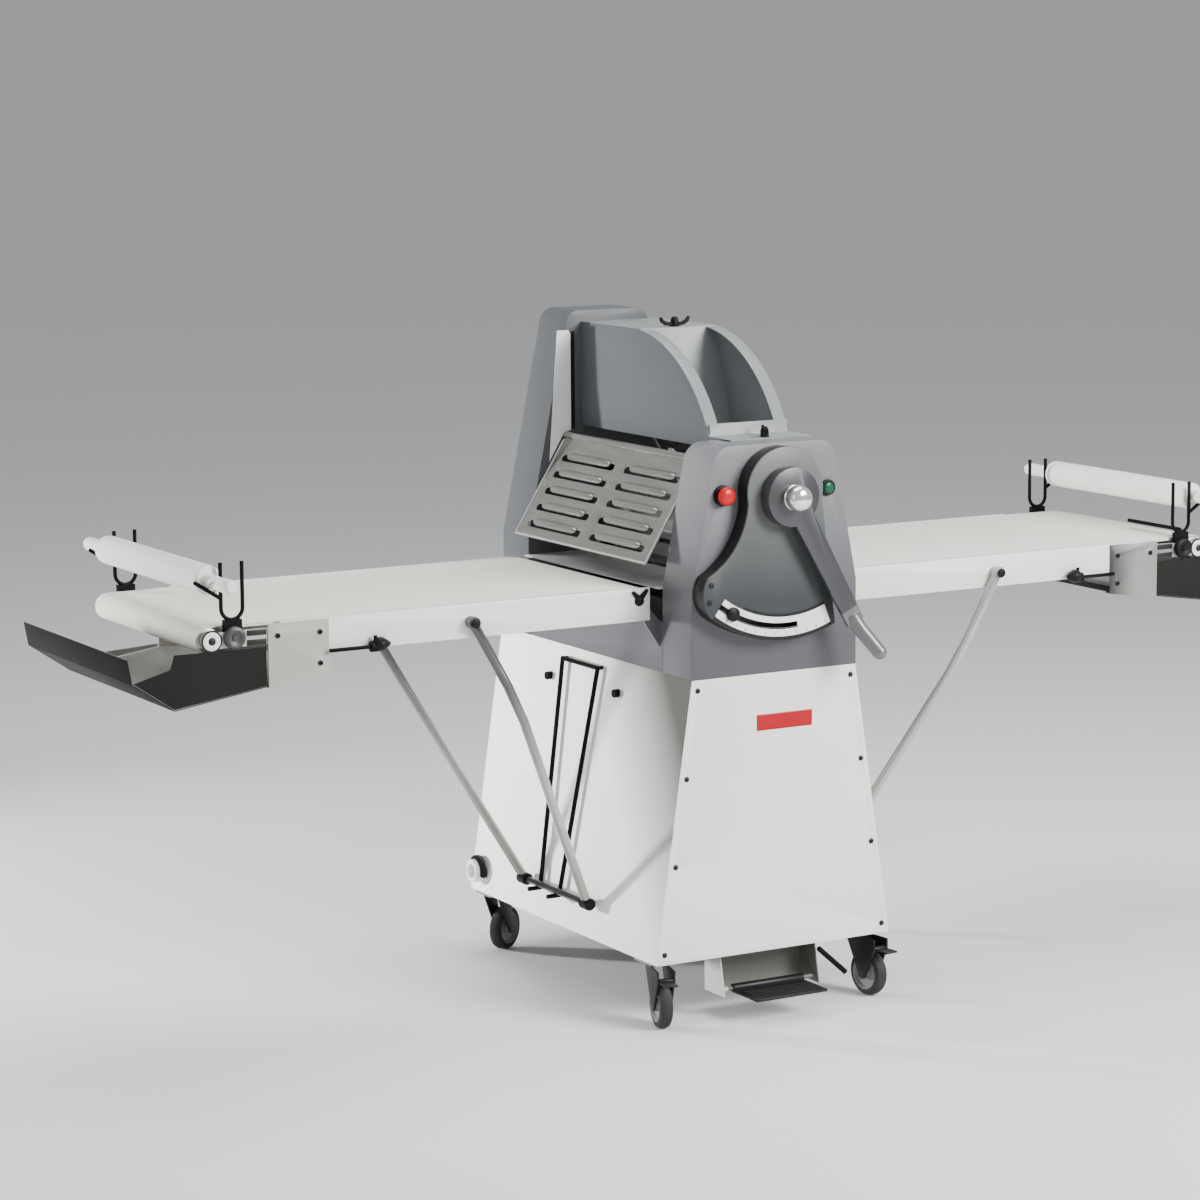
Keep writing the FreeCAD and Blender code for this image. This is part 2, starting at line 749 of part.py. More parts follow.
def build_dial():
    solid = bell_face(dial_face).extrude(vec(0, dial_raise, 0))
    hollow = bell_face(dial_face + dial_wall).makeOffset2D(-dial_wall).extrude(vec(0, dial_raise, 0))
    slot_wide = slot_half + free_gap
    slot = ring_sector(slot_r - slot_wide, slot_r + slot_wide, -slot_left_deg, slot_right_deg,
                       dial_face - over, dial_face + dial_wall + over)
    shaft_hole = rod_y(0, hub_z, lever_shaft_r + running, dial_face - over, dial_face + dial_wall + over)
    save("dial_box", solid.cut([hollow, slot, shaft_hole]))

    knob_x, knob_z = dial_point(slot_r, -stop_rest_deg)
    knob = fuse([rod_y(knob_x, knob_z, stop_knob_r, dial_face - free_gap - stop_knob_h, dial_face - free_gap),
                 rod_y(knob_x, knob_z, slot_half, dial_face - free_gap, dial_face + 3 * dial_wall)])
    save("stop_knob", knob)

    hub_back = dial_face - hub_gap
    hub_front = hub_back - hub_t
    arm_y = hub_front + arm_t / 2
    arm = prism_y([(-arm_root_half, hub_z), (arm_root_half, hub_z), (arm_tip_half, hub_z - arm_r),
                   (-arm_tip_half, hub_z - arm_r)], hub_front, hub_front + arm_t)
    knee = vec(0, arm_y, hub_z - arm_r + grip_r)
    grip_end = vec(0, arm_y - grip_out, hub_z - grip_end_r)
    grip = bent_rod([knee, knee + vec(0, -grip_out / 4, -2 * grip_r), grip_end], grip_r)
    lever = fuse([rod_y(0, hub_z, hub_r, hub_front, hub_back), arm, grip, Part.makeSphere(grip_r, grip_end),
                  rod_y(0, hub_z, lever_shaft_r, hub_back, front + lever_shaft_in)])
    lever.rotate(vec(0, 0, hub_z), Y_AXIS, -lever_rest_deg)
    save("gap_lever", lever)
    save("lever_cap", rod_y(0, hub_z, cap_r, hub_front - cap_h, hub_front))

    collar = rod_y(-button_x, button_z, estop_collar_r, front - estop_collar_t, front)
    collar = collar.cut(rod_y(-button_x, button_z, estop_stem_r + running, front - estop_collar_t, front))
    bezel = rod_y(button_x, button_z, start_bezel_r, front - start_bezel_t, front)
    bezel = bezel.cut(rod_y(button_x, button_z, start_r + running, front - start_bezel_t, front))
    save("button_bezels", collar, bezel)
    estop_back = front - estop_collar_t - estop_travel - slide_gap
    save("estop_button", fuse([rod_y(-button_x, button_z, estop_r, estop_back - estop_t, estop_back),
                               rod_y(-button_x, button_z, estop_stem_r, estop_back, front + button_stem_in)]))
    start_front = front - start_bezel_t - start_travel - start_proud
    save("start_button", rod_y(button_x, button_z, start_r, start_front, front + button_stem_in))


def bin_side(x0, x1):
    """Quarter-round end panel of the flour bin, with its rim turned in along the round edge."""
    arc_y = rear_face - bin_flat_length
    arc_z = bin_top_z - bin_arc_r
    rise = bin_lip_z - arc_z
    nose_y = arc_y - math.sqrt(bin_arc_r ** 2 - rise ** 2)
    half_way = math.radians(45) + math.asin(rise / bin_arc_r) / 2
    nose_front = housing_back + roll_end_gap

    def at(y, z):
        return vec(x0, y, z)

    edges = [Part.LineSegment(at(rear_face, bin_bottom_z), at(rear_face, bin_top_z)).toShape(),
             Part.LineSegment(at(rear_face, bin_top_z), at(arc_y, bin_top_z)).toShape(),
             Part.Arc(at(arc_y, bin_top_z), at(arc_y - bin_arc_r * math.cos(half_way),
                                               arc_z + bin_arc_r * math.sin(half_way)),
                      at(nose_y, bin_lip_z)).toShape(),
             Part.LineSegment(at(nose_y, bin_lip_z), at(nose_front, bin_lip_z)).toShape(),
             Part.LineSegment(at(nose_front, bin_lip_z), at(nose_front, bin_bottom_z)).toShape(),
             Part.LineSegment(at(nose_front, bin_bottom_z), at(rear_face, bin_bottom_z)).toShape()]
    panel = Part.Face(Part.Wire(edges)).extrude(vec(x1 - x0, 0, 0))
    rim = rod_x(arc_y, arc_z, bin_arc_r, x0, x1 + bin_rim)
    rim = rim.cut(rod_x(arc_y, arc_z, bin_arc_r - bin_sheet, x0, x1 + bin_rim))
    rim = rim.common(box(x0, x1 + bin_rim, nose_y, arc_y, bin_lip_z, bin_top_z))
    return fuse([panel, rim]), nose_y


def build_bin():
    s = bin_sheet
    left, nose_y = bin_side(-bin_half, s - bin_half)
    inner = bin_half - s
    foot_y = nose_y + bin_back_foot
    lip_foot = bin_lip_z - s
    back_wall = [(foot_y, lip_foot), (foot_y + s, lip_foot), (foot_y + s + bin_back_lean, bin_top_z),
                 (foot_y + bin_back_lean, bin_top_z)]
    pieces = [left, mirror_x(left),
              box(-inner, inner, nose_y, foot_y + s, lip_foot, bin_lip_z),
              box(-inner, inner, nose_y, nose_y + s, bin_lip_z, bin_lip_z + bin_lip_h),
              prism_x(back_wall, -inner, inner),
              box(-inner, inner, foot_y + bin_back_lean, rear_face, bin_top_z - s, bin_top_z),
              box(-bin_half, bin_half, housing_back - bin_flange_reach, nose_y, front_top_z, front_top_z + s)]
    flour_bin = fuse(pieces)
    flour_bin.translate(vec(bin_offset_x, 0, 0))
    save("flour_bin", flour_bin)

    def wing_screw(y, z):
        stud = rod_z(bin_offset_x, y, wing_stud_r, z, z + wing_stud_h)
        wings = box(bin_offset_x - wing_span, bin_offset_x + wing_span, y - wing_t / 2, y + wing_t / 2,
                    z + wing_stud_h / 2, z + wing_stud_h / 2 + wing_h)
        return fuse([stud, wings])

    save("wing_screws", wing_screw(foot_y + bin_back_lean + 2 * wing_span / 3, bin_top_z),
         wing_screw(housing_back - bin_flange_reach / 2, front_top_z + s))


def build_rolls():
    roll_start = housing_back + roll_end_gap
    roll_end = rear_face - roll_end_gap
    bearing_front = housing_back - housing_wall - bearing_t
    bearing_back = rear_face + housing_wall + bearing_t
    front_wall = housing_back - housing_wall
    rear_wall = rear_face + housing_wall
    save("lower_roll", fuse([rod_y(0, roll_z, roll_r, roll_start, roll_end),
                             rod_y(0, roll_z, journal_r, bearing_front, pulley_y + pulley_w / 2),
                             rod_y(0, roll_z, roll_pulley_r, pulley_y - pulley_w / 2,
                                   pulley_y + pulley_w / 2)]))
    save("upper_roll", fuse([rod_y(0, upper_z, roll_r, roll_start, roll_end),
                             rod_y(0, upper_z, journal_r, bearing_front, bearing_back)]))
    guide_x = carrier_half + free_gap
    guide_low = roll_z + bearing_up
    guide_high = upper_z + wall_slot_top
    fixed = []
    for y0, y1 in ((bearing_front, front_wall), (rear_wall, bearing_back)):
        block = box(-bearing_half, bearing_half, y0, y1, roll_z - bearing_up, guide_low)
        fixed.append(block.cut(rod_y(0, roll_z, journal_r + running, y0 - over, y1 + over)))
        fixed.append(box(-guide_x - guide_t, -guide_x, y0, y1, guide_low, guide_high))
        fixed.append(box(guide_x, guide_x + guide_t, y0, y1, guide_low, guide_high))
    save("roll_bearings", *fixed)
    low = upper_z - carrier_below
    high = upper_z + carrier_above
    block_front = bearing_front + carrier_wall_gap
    block_back = bearing_back - carrier_wall_gap
    beam_low = high - beam_h
    blade_x = roll_r + scraper_gap
    pieces = [box(-carrier_half, carrier_half, block_front, front_wall - carrier_wall_gap, low, high),
              box(-carrier_half, carrier_half, rear_wall + carrier_wall_gap, block_back, low, high),
              box(-beam_half, beam_half, block_front, block_back, beam_low, high),
              box(-blade_x - scraper_t, blade_x + scraper_t, roll_start, roll_end, beam_low,
                  beam_low + scraper_t)]
    for side in (-1, 1):
        inner = side * blade_x
        outer = side * (blade_x + scraper_t)
        pieces.append(box(min(inner, outer), max(inner, outer), roll_start, roll_end, upper_z,
                          beam_low + scraper_t))
    carrier = fuse(pieces)
    save("roll_carrier", carrier.cut(rod_y(0, upper_z, journal_r + running, bearing_front, bearing_back)))
    plate = box(-transfer_outer_x, -roll_r - plate_roll_gap, housing_back, rear_face,
                roll_z + roll_r - transfer_t, roll_z + roll_r)
    save("transfer_plates", plate, mirror_x(plate))


def build_drive():
    y0 = front + motor_start
    y1 = y0 + motor_length
    foot_z = base_bottom_z + plate_t
    motor = fuse([rod_y(0, motor_z, motor_r, y0, y1),
                  box(-motor_foot_half, motor_foot_half, y0, y1, foot_z, foot_z + motor_foot_h)])
    bore = rod_y(0, motor_z, motor_shaft_r + running, y1 - motor_shaft_in - free_gap, y1 + over)
    save("motor", motor.cut(bore))
    pulley_end = pulley_y + pulley_w / 2
    save("motor_pulley", fuse([rod_y(0, motor_z, motor_shaft_r, y1 - motor_shaft_in, pulley_end),
                               rod_y(0, motor_z, motor_pulley_r, pulley_end - pulley_w, pulley_end)]))
    a = pulley_y - vee_w / 2
    b = pulley_y + vee_w / 2
    inner = loop_y(0, roll_z, roll_pulley_r + free_gap, 0, motor_z, motor_pulley_r + free_gap, a, b)
    outer = loop_y(0, roll_z, roll_pulley_r + free_gap + vee_t, 0, motor_z,
                   motor_pulley_r + free_gap + vee_t, a, b)
    save("drive_belt", outer.cut(inner))


def build_guards():
    y0 = housing_back + guard_side_gap
    y1 = rear_face - guard_side_gap
    length = math.hypot(guard_low_x - guard_top_x, guard_top_z - guard_low_z)
    lean = math.degrees(math.atan2(guard_low_x - guard_top_x, guard_top_z - guard_low_z))
    plate = box(-guard_t / 2, guard_t / 2, y0, y1, -length, 0)
    column = (y1 - y0 - 2 * guard_slot_margin - guard_slot_bridge) / guard_slot_columns
    end_r = guard_slot_w / 2
    cuts = []
    for i in range(guard_slot_columns):
        start = y0 + guard_slot_margin + i * (column + guard_slot_bridge)
        for j in range(guard_slot_rows):
            z = -guard_row_start - j * guard_row_step
            cuts.append(box(-guard_t, guard_t, start + end_r, start + column - end_r, z - end_r, z + end_r))
            cuts.append(rod_x(start + end_r, z, end_r, -guard_t, guard_t))
            cuts.append(rod_x(start + column - end_r, z, end_r, -guard_t, guard_t))
    hem = rod_y(0, -length, guard_t, y0, y1)
    guard = fuse([plate.cut(cuts), rod_y(0, 0, guard_barrel_r, y0, y1), hem])
    guard = guard.cut(rod_y(0, 0, guard_rod_r + running, y0 - over, y1 + over))
    guard.rotate(vec(0, 0, 0), Y_AXIS, lean)
    guard.translate(vec(-guard_top_x, 0, guard_top_z))
    save_pair("guard", guard)


def tray_line(x):
    """Underside of the catch tray's floor at distance x from the middle."""
    return tray_low_z + (tray_low_x - x) * tray_rise


def build_tables():
    skirt = box(-skirt_outer_x, -skirt_inner_x, table_front, table_front + skirt_t,
                skirt_bottom_z, table_top_z)
    lip = box(-skirt_outer_x, -pivot_x - lip_w, table_front + skirt_t, table_front + skirt_t + lip_w,
              table_top_z - lip_t, table_top_z)
    pin_end = table_front - strut_stand - strut_eye_t - strut_stand
    pin = fuse([rod_y(-strut_top_x, strut_top_z, strut_pin_r, pin_end, table_front),
                rod_y(-strut_top_x, strut_top_z, strut_pin_head_r, pin_end - strut_pin_head_t, pin_end)])
    side = fuse([skirt, lip, pin])
    pivot_hole = rod_y(-pivot_x, roller_z, pivot_r + running, table_front - skirt_t, table_back + skirt_t)
    bed_top = table_top_z - belt_t - free_gap
    cross_top = bed_top - table_bed_t
    frame = [side, mirror_table(side)]
    for step_in in cross_in:
        x = end_roller_x - step_in
        frame.append(box(-x - cross_w / 2, cross_w / 2 - x, table_front + skirt_t, table_back - skirt_t,
                         cross_top - cross_h, cross_top))
    bed = box(-end_roller_x + belt_outer_r + lip_t, -pivot_x - belt_outer_r - lip_t, belt_front, belt_back,
              cross_top, bed_top)
    save_pair("table_frame", fuse(frame).cut(pivot_hole), bed)

    inner = loop_y(-end_roller_x, roller_z, roller_r + free_gap, -pivot_x, roller_z, roller_r + free_gap,
                   belt_front, belt_back)
    outer = loop_y(-end_roller_x, roller_z, belt_outer_r, -pivot_x, roller_z, belt_outer_r,
                   belt_front, belt_back)
    save_pair("belt", outer.cut(inner))
    hub = rod_y(-pivot_x, roller_z, roller_r, belt_front, belt_back)
    bore = rod_y(-pivot_x, roller_z, pivot_r + running, belt_front - over, belt_back + over)
    save_pair("inner_roller", hub.cut(bore))
    save_pair("end_roller", fuse([rod_y(-end_roller_x, roller_z, roller_r, belt_front, belt_back),
                                  rod_y(-end_roller_x, roller_z, end_axle_r, table_front, table_back)]))

    under = free_gap + bracket_t
    plate = [(-bracket_inner_x, tray_line(bracket_inner_x) - under),
             (-bracket_outer_x, tray_line(bracket_outer_x) - under),
             (-bracket_outer_x, table_top_z - bracket_top_drop),
             (-bracket_inner_x, table_top_z - bracket_top_drop)]
    ledge = plate[:2] + [(x, z + bracket_t) for x, z in reversed(plate[:2])]
    pieces = [prism_y(plate, table_front - bracket_t, table_front),
              prism_y(ledge, table_front, table_front + bracket_flange)]
    inset = 4 * bolt_r
    for x, z in ((bracket_inner_x + inset, roller_z), (bracket_outer_x - inset, roller_z),
                 (bracket_inner_x + inset, skirt_bottom_z - inset)):
        pieces.append(rod_y(-x, z, bolt_r, table_front - bracket_t - bolt_h, table_front - bracket_t))
    pieces.append(box(-end_roller_x, -skirt_outer_x - bracket_t, table_front, table_front + arm_w,
                      roller_z - arm_half, roller_z + arm_half))
    pieces.append(rod_y(-end_roller_x, roller_z, arm_end_r, table_front, table_front + arm_w))
    bore = rod_y(-end_roller_x, roller_z, end_axle_r + running, table_front - over, table_front + 2 * arm_w)
    bracket = fuse(pieces).cut(bore)
    save_pair("end_brackets", bracket, mirror_table(bracket))


def build_forks():
    y = table_front + arm_w / 2
    foot_z = roller_z + arm_half
    outer_x = -fork_x - fork_half
    inner_x = -fork_x + fork_half
    bend_z = fork_bottom_z + fork_half
    path = [Part.LineSegment(vec(outer_x, y, fork_top_z), vec(outer_x, y, bend_z)).toShape(),
            Part.Arc(vec(outer_x, y, bend_z), vec(-fork_x, y, fork_bottom_z),
                     vec(inner_x, y, bend_z)).toShape(),
            Part.LineSegment(vec(inner_x, y, bend_z), vec(inner_x, y, fork_top_z)).toShape()]
    ring = Part.Wire([Part.makeCircle(wire_r, vec(outer_x, y, fork_top_z), Z_AXIS)])
    wire = Part.Wire(path).makePipeShell([ring], True, False)
    lean = math.radians(finger_lean_deg)
    root = vec(outer_x, y, finger_root_z)
    finger = Part.makeCylinder(wire_r, finger_length, root, vec(-math.sin(lean), 0, math.cos(lean)))
    foot = box(-fork_x - fork_foot_half, fork_foot_half - fork_x, table_front, table_front + arm_w, foot_z,
               fork_bottom_z)
    fork = fuse([wire, finger, Part.makeSphere(wire_r, root), foot])
    latch_z = table_top_z - latch_drop
    latch_y = table_front - latch_stand
    stem_end = -bracket_inner_x - bracket_t
    latch = fuse([rod_x(latch_y, latch_z, wire_r, stem_end, -latch_x),
                  rod_x(latch_y, latch_z, latch_r, -latch_x - latch_length, -latch_x),
                  rod_y(-latch_x - latch_length / 2, latch_z, wire_r, latch_y, table_front),
                  rod_z(-latch_x - latch_length / 2, latch_y, wire_r, latch_z, latch_z + latch_length)])
    save_pair("pin_forks", fork, mirror_table(fork), latch)

    reach = (pin_handle_r + wire_r + free_gap) / math.sin(lean / 2)
    pin_x = outer_x - reach * math.sin(lean / 2)
    pin_z = finger_root_z + reach * math.cos(lean / 2)
    barrel_front = y + wire_r + pin_barrel_gap
    barrel_back = 2 * table_middle - barrel_front
    save_pair("rolling_pin", fuse([rod_y(pin_x, pin_z, pin_barrel_r, barrel_front, barrel_back),
                                   rod_y(pin_x, pin_z, pin_handle_r, barrel_front - pin_handle_length,
                                         barrel_back + pin_handle_length)]))


def build_trays():
    s = tray_sheet
    inner_z = tray_line(bracket_inner_x)
    outside = [(-bracket_inner_x, inner_z + tray_inner_lip), (-bracket_inner_x, inner_z),
               (-tray_low_x, tray_low_z), (-tray_foot_x, tray_foot_z), (-tray_rim_x, tray_rim_z)]
    shift = [(-s, 0), (-s, s), (s / 4, s), (s, s / 2), (s, 0)]
    inside = [(x + dx, z + dz) for (x, z), (dx, dz) in zip(outside, shift)]
    y0 = table_front + tray_side_gap
    y1 = table_back - tray_side_gap
    save_pair("tray", prism_y(outside + inside[::-1], y0, y1))


def build_struts():
    eye_y0 = table_front - strut_stand - strut_eye_t
    eye_y1 = table_front - strut_stand
    tube_y = (eye_y0 + eye_y1) / 2
    foot_x = -base_half(strut_foot_z) - rail_stand - rail_r - slide_gap - crossbar_r

    def leg(y_top, y_foot):
        top = vec(-strut_top_x, y_top, strut_top_z)
        bend = vec(-strut_bend_x, y_top, strut_bend_z)
        foot = vec(foot_x, front + y_foot, strut_foot_z)
        above = bend + (top - bend).normalize() * strut_bend_ease
        below = bend + (foot - bend).normalize() * strut_bend_ease
        return bent_rod([top, above, below, foot], strut_tube_r)

    back_tube_y = 2 * table_middle - tube_y
    eye = rod_y(-strut_top_x, strut_top_z, strut_eye_r, eye_y0, eye_y1)
    pieces = [eye, mirror_table(eye), leg(tube_y, strut_foot_front), leg(back_tube_y, strut_foot_back),
              rod_y(foot_x, strut_foot_z, crossbar_r, front + strut_foot_front - strut_tube_r,
                    front + strut_foot_back + strut_tube_r)]
    hole = rod_y(-strut_top_x, strut_top_z, strut_pin_r + running, eye_y0 - over,
                 2 * table_middle - eye_y0 + over)
    save_pair("strut_frame", fuse(pieces).cut(hole))


os.makedirs("parts", exist_ok=True)
build_cabinet()
build_casters()
build_pedal()
build_side_fittings()
build_head()
build_dial()
build_bin()
build_rolls()
build_drive()
build_guards()
build_tables()
build_forks()
build_trays()
build_struts()
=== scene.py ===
"""Looks of a floor-standing dough sheeter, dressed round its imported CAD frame."""

import json
import logging
import math
from dataclasses import dataclass
from enum import Enum
from typing import Any, Callable, Sequence

import bpy
from mathutils import Matrix, Vector

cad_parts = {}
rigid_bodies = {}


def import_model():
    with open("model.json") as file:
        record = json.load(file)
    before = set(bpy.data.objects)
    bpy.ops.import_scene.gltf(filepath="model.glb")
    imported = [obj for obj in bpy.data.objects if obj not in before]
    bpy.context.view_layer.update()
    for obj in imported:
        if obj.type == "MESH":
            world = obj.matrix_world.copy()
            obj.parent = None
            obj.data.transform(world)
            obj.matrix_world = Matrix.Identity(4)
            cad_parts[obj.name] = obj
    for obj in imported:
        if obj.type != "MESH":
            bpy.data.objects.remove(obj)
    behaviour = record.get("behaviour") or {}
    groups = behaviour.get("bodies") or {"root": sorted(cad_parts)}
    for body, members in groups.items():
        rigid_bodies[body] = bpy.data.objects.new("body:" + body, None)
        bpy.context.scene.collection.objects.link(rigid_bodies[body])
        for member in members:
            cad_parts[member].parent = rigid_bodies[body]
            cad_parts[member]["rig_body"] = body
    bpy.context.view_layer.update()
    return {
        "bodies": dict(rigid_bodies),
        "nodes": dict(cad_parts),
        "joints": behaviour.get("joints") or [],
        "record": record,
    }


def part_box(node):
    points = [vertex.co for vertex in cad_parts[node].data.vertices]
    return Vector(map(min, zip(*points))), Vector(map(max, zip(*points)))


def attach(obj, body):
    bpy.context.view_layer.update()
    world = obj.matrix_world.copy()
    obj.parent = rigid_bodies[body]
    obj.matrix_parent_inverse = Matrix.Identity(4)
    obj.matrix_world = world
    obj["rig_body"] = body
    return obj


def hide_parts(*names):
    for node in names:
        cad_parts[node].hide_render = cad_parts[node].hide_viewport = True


LOG = logging.getLogger("dough_sheeter")
Piece = bpy.types.Object
Socket = bpy.types.NodeSocket
Colour = tuple[float, float, float]
Point = tuple[float, float, float]
Pair = tuple[float, float]
Profile = Sequence[Pair]
FaceTest = Callable[[Vector, Vector], bool]

# Planes and heights of the CAD model that several pieces share, in metres.
FRONT = -0.357
BACK = 0.478
HOUSING_BACK = -0.239
REAR_FACE = 0.343
TABLE_FRONT = -0.231
TABLE_MIDDLE = 0.0475
DIAL_FACE = -0.399
HUB_Z = 1.114
MACHINE = "machine"

ORIGIN = (0.0, 0.0, 0.0)
TO_FRONT = (0.0, -1.0, 0.0)
TO_BACK = (0.0, 1.0, 0.0)
TO_LEFT = (-1.0, 0.0, 0.0)
UP = (0.0, 0.0, 1.0)

# Distances in metres, angles in degrees and a cosine that the edit-mode work goes by.
SEED_SIZE = 0.001
MERGE_GAP = 0.00002
NODE_MERGE_GAP = 0.00001
FLAT_ANGLE = 0.5
SHARP_ANGLE = 40.0
SMOOTH_ANGLE = 32.0
ROUND_ANGLE = 50.0
FACING = 0.9
ON_PLANE = 0.0003

FLOUR_COLOUR = (0.86, 0.84, 0.78)
COAT_ROUGHNESS = 0.12
BUMP_DISTANCE = 0.001
GRAIN_IN = {"Colour": "Color", "Tint": "Color", "Scale": "Float", "Stretch": "Vector", "Roughness": "Float",
            "Spread": "Float"}
GRAIN_OUT = {"Colour": "Color", "Roughness": "Float", "Height": "Float"}


def mm(*pairs: Pair) -> list[Pair]:
    """Points of a profile or an outline in metres, given in millimetres."""
    return [(a / 1000.0, b / 1000.0) for a, b in pairs]


def mirrored(half: Profile) -> list[Pair]:
    """Profile whose second half mirrors its first one."""
    return [*half, *((r, -h) for r, h in reversed(half))]


def add_object(name: str, data: bpy.types.ID) -> bpy.types.Object:
    """Put a new object in the scene.

    Args:
        name: Name of the object.
        data: Its mesh, light or camera.

    Returns:
        The new object.
    """
    item = bpy.data.objects.new(name, data)
    bpy.context.scene.collection.objects.link(item)
    return item


class Side(Enum):
    """Left and right half of the machine, with the sign of X there."""

    LEFT = -1
    RIGHT = 1

    @property
    def word(self) -> str:
        """Name of the side in node names."""
        return self.name.lower()


class Grain(Enum):
    """Kind of surface grain that a finish has."""

    PAINT = "paint"
    BRUSHED = "brushed"
    CANVAS = "canvas"


@dataclass(frozen=True)
class Zone:
    """Part of a surface, beyond a plane, that has another colour."""

    axis: Point
    edge: float
    colour: Colour
    fade: float = 0.0004


@dataclass(frozen=True)
class Finish:
    """Colour and surface of one material of the machine."""

    name: str
    colour: Colour
    tint: Colour
    roughness: float
    metallic: float = 0.0
    grain: Grain = Grain.PAINT
    scale: float = 6.0
    spread: float = 0.12
    bump: float = 0.05
    stretch: Point = (1.0, 1.0, 1.0)
    dust: float = 0.0
    coat: float = 0.0
    specular: float = 0.5
    zones: tuple[Zone, ...] = ()


class Wiring:
    """Adds nodes to a shader's node tree and links them."""

    def __init__(self, tree: bpy.types.NodeTree) -> None:
        """Keep the tree at hand."""
        self.tree = tree

    def feed(self, node: bpy.types.Node, inputs: dict[str | int, Any]) -> None:
        """Fill inputs of a node.

        Args:
            node: The node.
            inputs: Socket to link or value to set, by the input's name or number.
        """
        for key, given in inputs.items():
            if isinstance(given, Socket):
                self.tree.links.new(given, node.inputs[key])
            else:
                node.inputs[key].default_value = given

    def add(self, kind: str, inputs: dict[str | int, Any], **settings: Any) -> bpy.types.Node:
        """Add a node.

        Args:
            kind: Type of the node, without the prefix that all of them have.
            inputs: What its inputs get.
            settings: Its properties, which are set first.

        Returns:
            The new node.
        """
        node = self.tree.nodes.new("ShaderNode" + kind)
        for name, setting in settings.items():
            setattr(node, name, setting)
        self.feed(node, inputs)
        return node

    def calc(self, operation: str, *values: Any, clamp: bool = False) -> Socket:
        """Result of a math node."""
        return self.add("Math", dict(enumerate(values)), operation=operation, use_clamp=clamp).outputs[0]

    def mix(self, share: Socket, under: Any, over: Any) -> Socket:
        """Colour between two others, by a share from 0 to 1."""
        return self.add("Mix", {"Factor": share, "A": under, "B": over}, data_type="RGBA").outputs["Result"]

    def noise(self, place: Socket, scale: Any, detail: float) -> Socket:
        """Clouds from 0 to 1."""
        return self.add("TexNoise", {"Vector": place, "Scale": scale, "Detail": detail}).outputs["Fac"]

    def place(self) -> Socket:
        """Place on the piece."""
        return self.add("TexCoord", {}).outputs["Object"]


